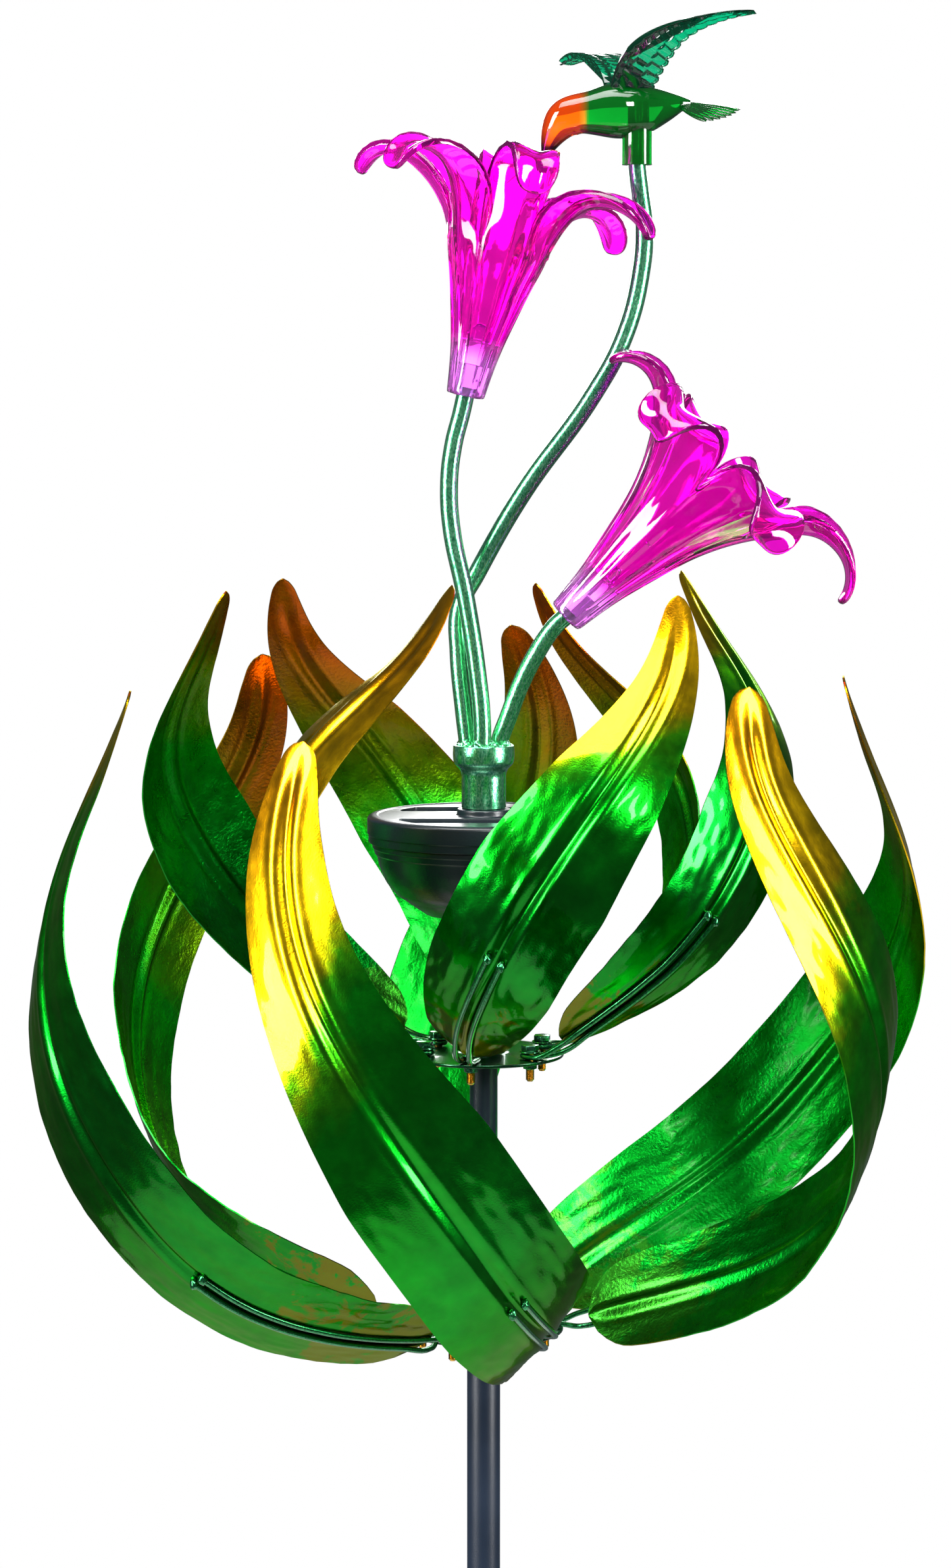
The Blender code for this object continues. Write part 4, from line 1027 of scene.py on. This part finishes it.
birdLook = {
    # along the middle: x, z, half width and half height in mm
    "body": ((34.2, 1627, 0.5, 0.5), (35.4, 1633, 1.6, 1.7), (37, 1640, 3.4, 3.6), (39.3, 1646.5, 5.8, 6.3),
             (43, 1653.5, 8.6, 9.4),
             (48, 1659, 10.6, 11.6), (55, 1661.8, 10.8, 11.8), (63, 1662.6, 11.6, 13.0),
             (73, 1663.4, 13.6, 15.6), (84, 1664, 14.2, 16.4),
             (94, 1664.6, 13.0, 14.6), (103, 1665.8, 10.4, 11.0), (111, 1667, 7.6, 7.2),
             (117, 1667.8, 5.4, 4.0), (121, 1668, 3.2, 2.0)),
    "y": 4, "collar": 9, "collarX": 90, "collarLow": 1632, "collarTop": 1656, "bore": 45, "boreMiddle": 1645.5,
    # tail feathers: how many, first direction and step in degrees, first length and what each next one loses
    "tail": {"count": 8, "first": 6, "step": 9.0, "long": 37, "less": 1.3, "root": (114, 3.5, 1668.2)},
    "nearWing": (((74, -5, 1678), (100, -7, 1676)), ((77.5, -12, 1689), (104, -15, 1684)),
                 ((84, -20, 1699), (109, -23, 1692)),
                 ((94, -26, 1706.5), (115, -30, 1700)), ((108, -32, 1712), (124, -35, 1706.5)),
                 ((126, -37, 1716), (136, -39, 1711.5)),
                 ((143, -41, 1718), (147.5, -42, 1714.5)), ((155, -43, 1718), (156.5, -43.5, 1716))),
    "farWing": (((71, 12, 1679), (96, 12, 1680)), ((68, 20, 1688), (94, 22, 1689)),
                ((62, 30, 1695), (88, 33, 1696)),
                ((55, 39, 1698), (79, 43, 1698.5)), ((49, 47, 1697.5), (66, 51, 1697)),
                ((45, 53, 1694.5), (51, 56, 1693.5))),
    "span": 90, "chord": 40,
}


def birdAcrylic(name, tint):
    made, add, shader, place, toned = tintedAcrylic(name, tint, "#03301A", edge=0.85)
    shader.inputs["Transmission Weight"].default_value = 0.8
    split = add("SeparateXYZ", links={0: place})
    # the head is dyed orange and the beak black, each fading into the next
    front = add("MapRange", {"From Min": 0.0615, "From Max": 0.0555}, {"Value": split.outputs["X"]})
    lower = add("MapRange", {"From Min": 1.6800, "From Max": 1.6760}, {"Value": split.outputs["Z"]})
    head = add("Math", {"operation": "MULTIPLY"}, {0: front, 1: lower})
    first = add("Mix", {"data_type": "RGBA", 7: toLinear("#EE4A00")}, {0: head, 6: toned})
    beak = add("MapRange", {"From Min": 1.6520, "From Max": 1.6425}, {"Value": split.outputs["Z"]})
    only = add("Math", {"operation": "MULTIPLY"}, {0: beak, 1: head})
    second = add("Mix", {"data_type": "RGBA", 7: toLinear("#140404")}, {0: only, 6: first.outputs[2]})
    feed(shader, {"Base Color": second.outputs[2]})
    return made


def buildBirdBody():
    look = birdLook
    stations = np.array(look["body"], float)
    mid = np.concatenate([[0], np.cumsum(np.hypot(np.diff(stations[:, 0]), np.diff(stations[:, 1])))])
    at = np.linspace(0, mid[-1], 97)
    x, z, half, tall = (naturalSpline(mid, stations[:, c], at) for c in range(4))
    half, tall = np.maximum(half, 0.3), np.maximum(tall, 0.3)
    slopeX, slopeZ = np.gradient(x, at), np.gradient(z, at)

    def place(u, v):
        i = round(v * 96)
        a = tau * u
        norm = (slopeX[i] ** 2 + slopeZ[i] ** 2) ** 0.5
        up = (-slopeZ[i] / norm, slopeX[i] / norm)
        high = tall[i] * sin(a)
        return Vector((x[i] + up[0] * high, look["y"] + half[i] * cos(a), z[i] + up[1] * high)) * mm

    body = gridPiece(64, 96, place)
    closeEnds(body, 0.00002)
    socketX = look["collarX"]
    profile = roundedProfile([(onAxis, look["collarLow"]), (look["collar"], look["collarLow"], 0.5),
                              (look["collar"], look["collarTop"]),
                              (onAxis, look["collarTop"])], 0.4)
    collar = spunPiece(profile, 64, (socketX * mm, look["y"] * mm))
    combine(body, collar, "UNION")
    combine(body, cylinderPiece(stemLook["radius"] + 0.6, look["bore"],
                                (socketX, look["y"], look["boreMiddle"])))
    feathers = []
    tail = look["tail"]
    for k in range(tail["count"]):
        spread = radians(tail["first"] - tail["step"] * k)
        long = tail["long"] - tail["less"] * k
        deselectAll()
        bpy.ops.mesh.primitive_uv_sphere_add(segments=20, ring_count=14, radius=1)
        feather = bpy.context.object
        for vertex in feather.data.vertices:
            p = vertex.co.copy()
            taper = 0.8 + 0.2 * p.x
            px, py, pz = (p.x * 0.5 + 0.5) * long, p.y * 3.2 * taper, p.z * 1.5
            flat = Vector((px * cos(spread) - py * sin(spread), px * sin(spread) + py * cos(spread), pz))
            drop = -0.1 * px + 0.32 * min(flat.y, 0)
            vertex.co = (Vector(tail["root"]) - Vector((0, 0, 0.25 * k)) + flat + Vector((0, 0, drop))) * mm
        feathers.append(feather)
    finishPiece(joined([body, *feathers]), "birdBodyMoulded", [birdDye], "frame", ["bird_body"], smoothAngle=45)


def buildWing(name, node, stations, flip):
    look = birdLook
    lead = np.array([s[0] for s in stations], float)
    trail = np.array([s[1] for s in stations], float)
    knots = np.concatenate([[0], np.cumsum(np.linalg.norm(np.diff((lead + trail) / 2, axis=0), axis=1))])
    span, chord = look["span"], look["chord"]
    at = np.linspace(0, knots[-1], span + 1)
    lead = np.stack([naturalSpline(knots, lead[:, c], at) for c in range(3)], -1)
    trail = np.stack([naturalSpline(knots, trail[:, c], at) for c in range(3)], -1)
    ahead = unit(np.gradient((lead + trail) / 2, axis=0))
    normal = unit(np.cross(trail - lead, ahead)) * flip

    def place(u, v):
        # u runs round the section: over the top to the trailing edge and back underneath
        i = round(v * span)
        part = i / span
        over = u < 0.5
        c = u * 2 if over else 2 - u * 2
        c = 0.5 - 0.5 * cos(pi * c)
        count = 13.0
        slant = part * count + c * 1.6
        scallop = abs(sin(pi * slant)) ** 0.6
        reach = 1 - (0.10 * (1 - scallop) if part < 0.93 else 0)
        row = c * 3.2
        feather = abs(sin(pi * (part * count + 0.5 * (int(row) % 2) + c * 1.6))) ** 0.7
        layered = 0.75 * (1 - (row - int(row))) + 0.55 * feather
        inner = min(1.0, c / 0.16) * (1 - 0.35 * part)
        bead = 1.9 * max(0.0, 1 - (c / 0.2) ** 2) ** 0.5
        thick = (0.35 + bead + layered * inner * 0.9) * min(1.0, (1.02 - part) / 0.06 + 0.25)
        if c > 0.96:
            thick *= max(0.25, (1 - c) / 0.04)
        spot = lead[i] + (trail[i] - lead[i]) * c * reach
        return Vector(spot + normal[i] * thick * (1 if over else -0.8)) * mm

    wing = gridPiece(2 * chord, span, place)
    closeEnds(wing, 0.00001)
    finishPiece(wing, name, [wingDye], "frame", [node], smoothAngle=60)


birdDye = birdAcrylic("birdCastAcrylicGreen", "#00781C")
wingDye = birdAcrylic("wingCastAcrylicTeal", "#005034")
buildBirdBody()
buildWing("birdNearWing", "bird_wing_near", birdLook["nearWing"], 1)
buildWing("birdFarWing", "bird_wing_far", birdLook["farWing"], -1)
print("bird moulded")

# ---- camera, light and floor

studio = {
    "look": (-0.0049, -2.4863, 1.5283), "tip": 84.0, "lens": 96.4,
    "floor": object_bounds()[0].z - 0.001,
}
deselectAll()
bpy.ops.object.camera_add(location=studio["look"], rotation=(radians(studio["tip"]), 0, 0))
camera = bpy.context.object
camera.data.lens = studio["lens"]
camera.data.clip_end = 50
bpy.context.scene.camera = camera

bpy.ops.mesh.primitive_circle_add(vertices=128, radius=1.5, fill_type="NGON", location=(0, 0, studio["floor"]))
floor = bpy.context.object
floor.name = "studioFloor"
floor.data.materials.append(newMaterial("floorPalePaper", {"Base Color": toLinear("#BEBEBC"),
                                                           "Roughness": 0.9})[0])

softboxes = {
    "keyLeft": {"place": (-2.1, -1.3, 1.9), "size": (0.9, 2.2), "power": 70},
    "keyRight": {"place": (2.1, -1.1, 1.7), "size": (0.7, 2.0), "power": 48},
    "overhead": {"place": (-0.3, -0.6, 3.3), "size": (1.8, 1.0), "power": 26},
    "frontStrip": {"place": (0.6, -3.3, 2.9), "size": (0.5, 0.9), "power": 20},
    "back": {"place": (0.3, 2.4, 2.2), "size": (2.2, 1.2), "power": 34},
}
target = Vector((0, 0, 1.25))
for name, box in softboxes.items():
    bpy.ops.object.light_add(type="AREA", location=box["place"])
    lamp = bpy.context.object
    lamp.name = name
    lamp.data.shape = "RECTANGLE"
    lamp.data.size, lamp.data.size_y = box["size"]
    lamp.data.energy = box["power"]
    lamp.data.spread = radians(110)
    lamp.rotation_euler = (target - lamp.location).to_track_quat("-Z", "Y").to_euler()

world = bpy.data.worlds.new("studioWorld")
bpy.context.scene.world = world
world.use_nodes = True
sky = world.node_tree
back = sky.nodes["Background"]
rays = addNode(sky, "LightPath")
seen = addNode(sky, "Math", {"operation": "MAXIMUM"}, {0: rays.outputs["Is Camera Ray"],
                                                       1: rays.outputs["Is Transmission Ray"]})
dim = addNode(sky, "Background", {"Color": toLinear("#C4D0D8"), "Strength": 0.2})
back.inputs["Color"].default_value = (1, 1, 1, 1)
back.inputs["Strength"].default_value = 1.0
shown = addNode(sky, "MixShader", links={0: seen, 1: dim, 2: back})
feed(sky.nodes["World Output"], {"Surface": shown})
bpy.context.scene.view_settings.view_transform = "Standard"
print("studio set")
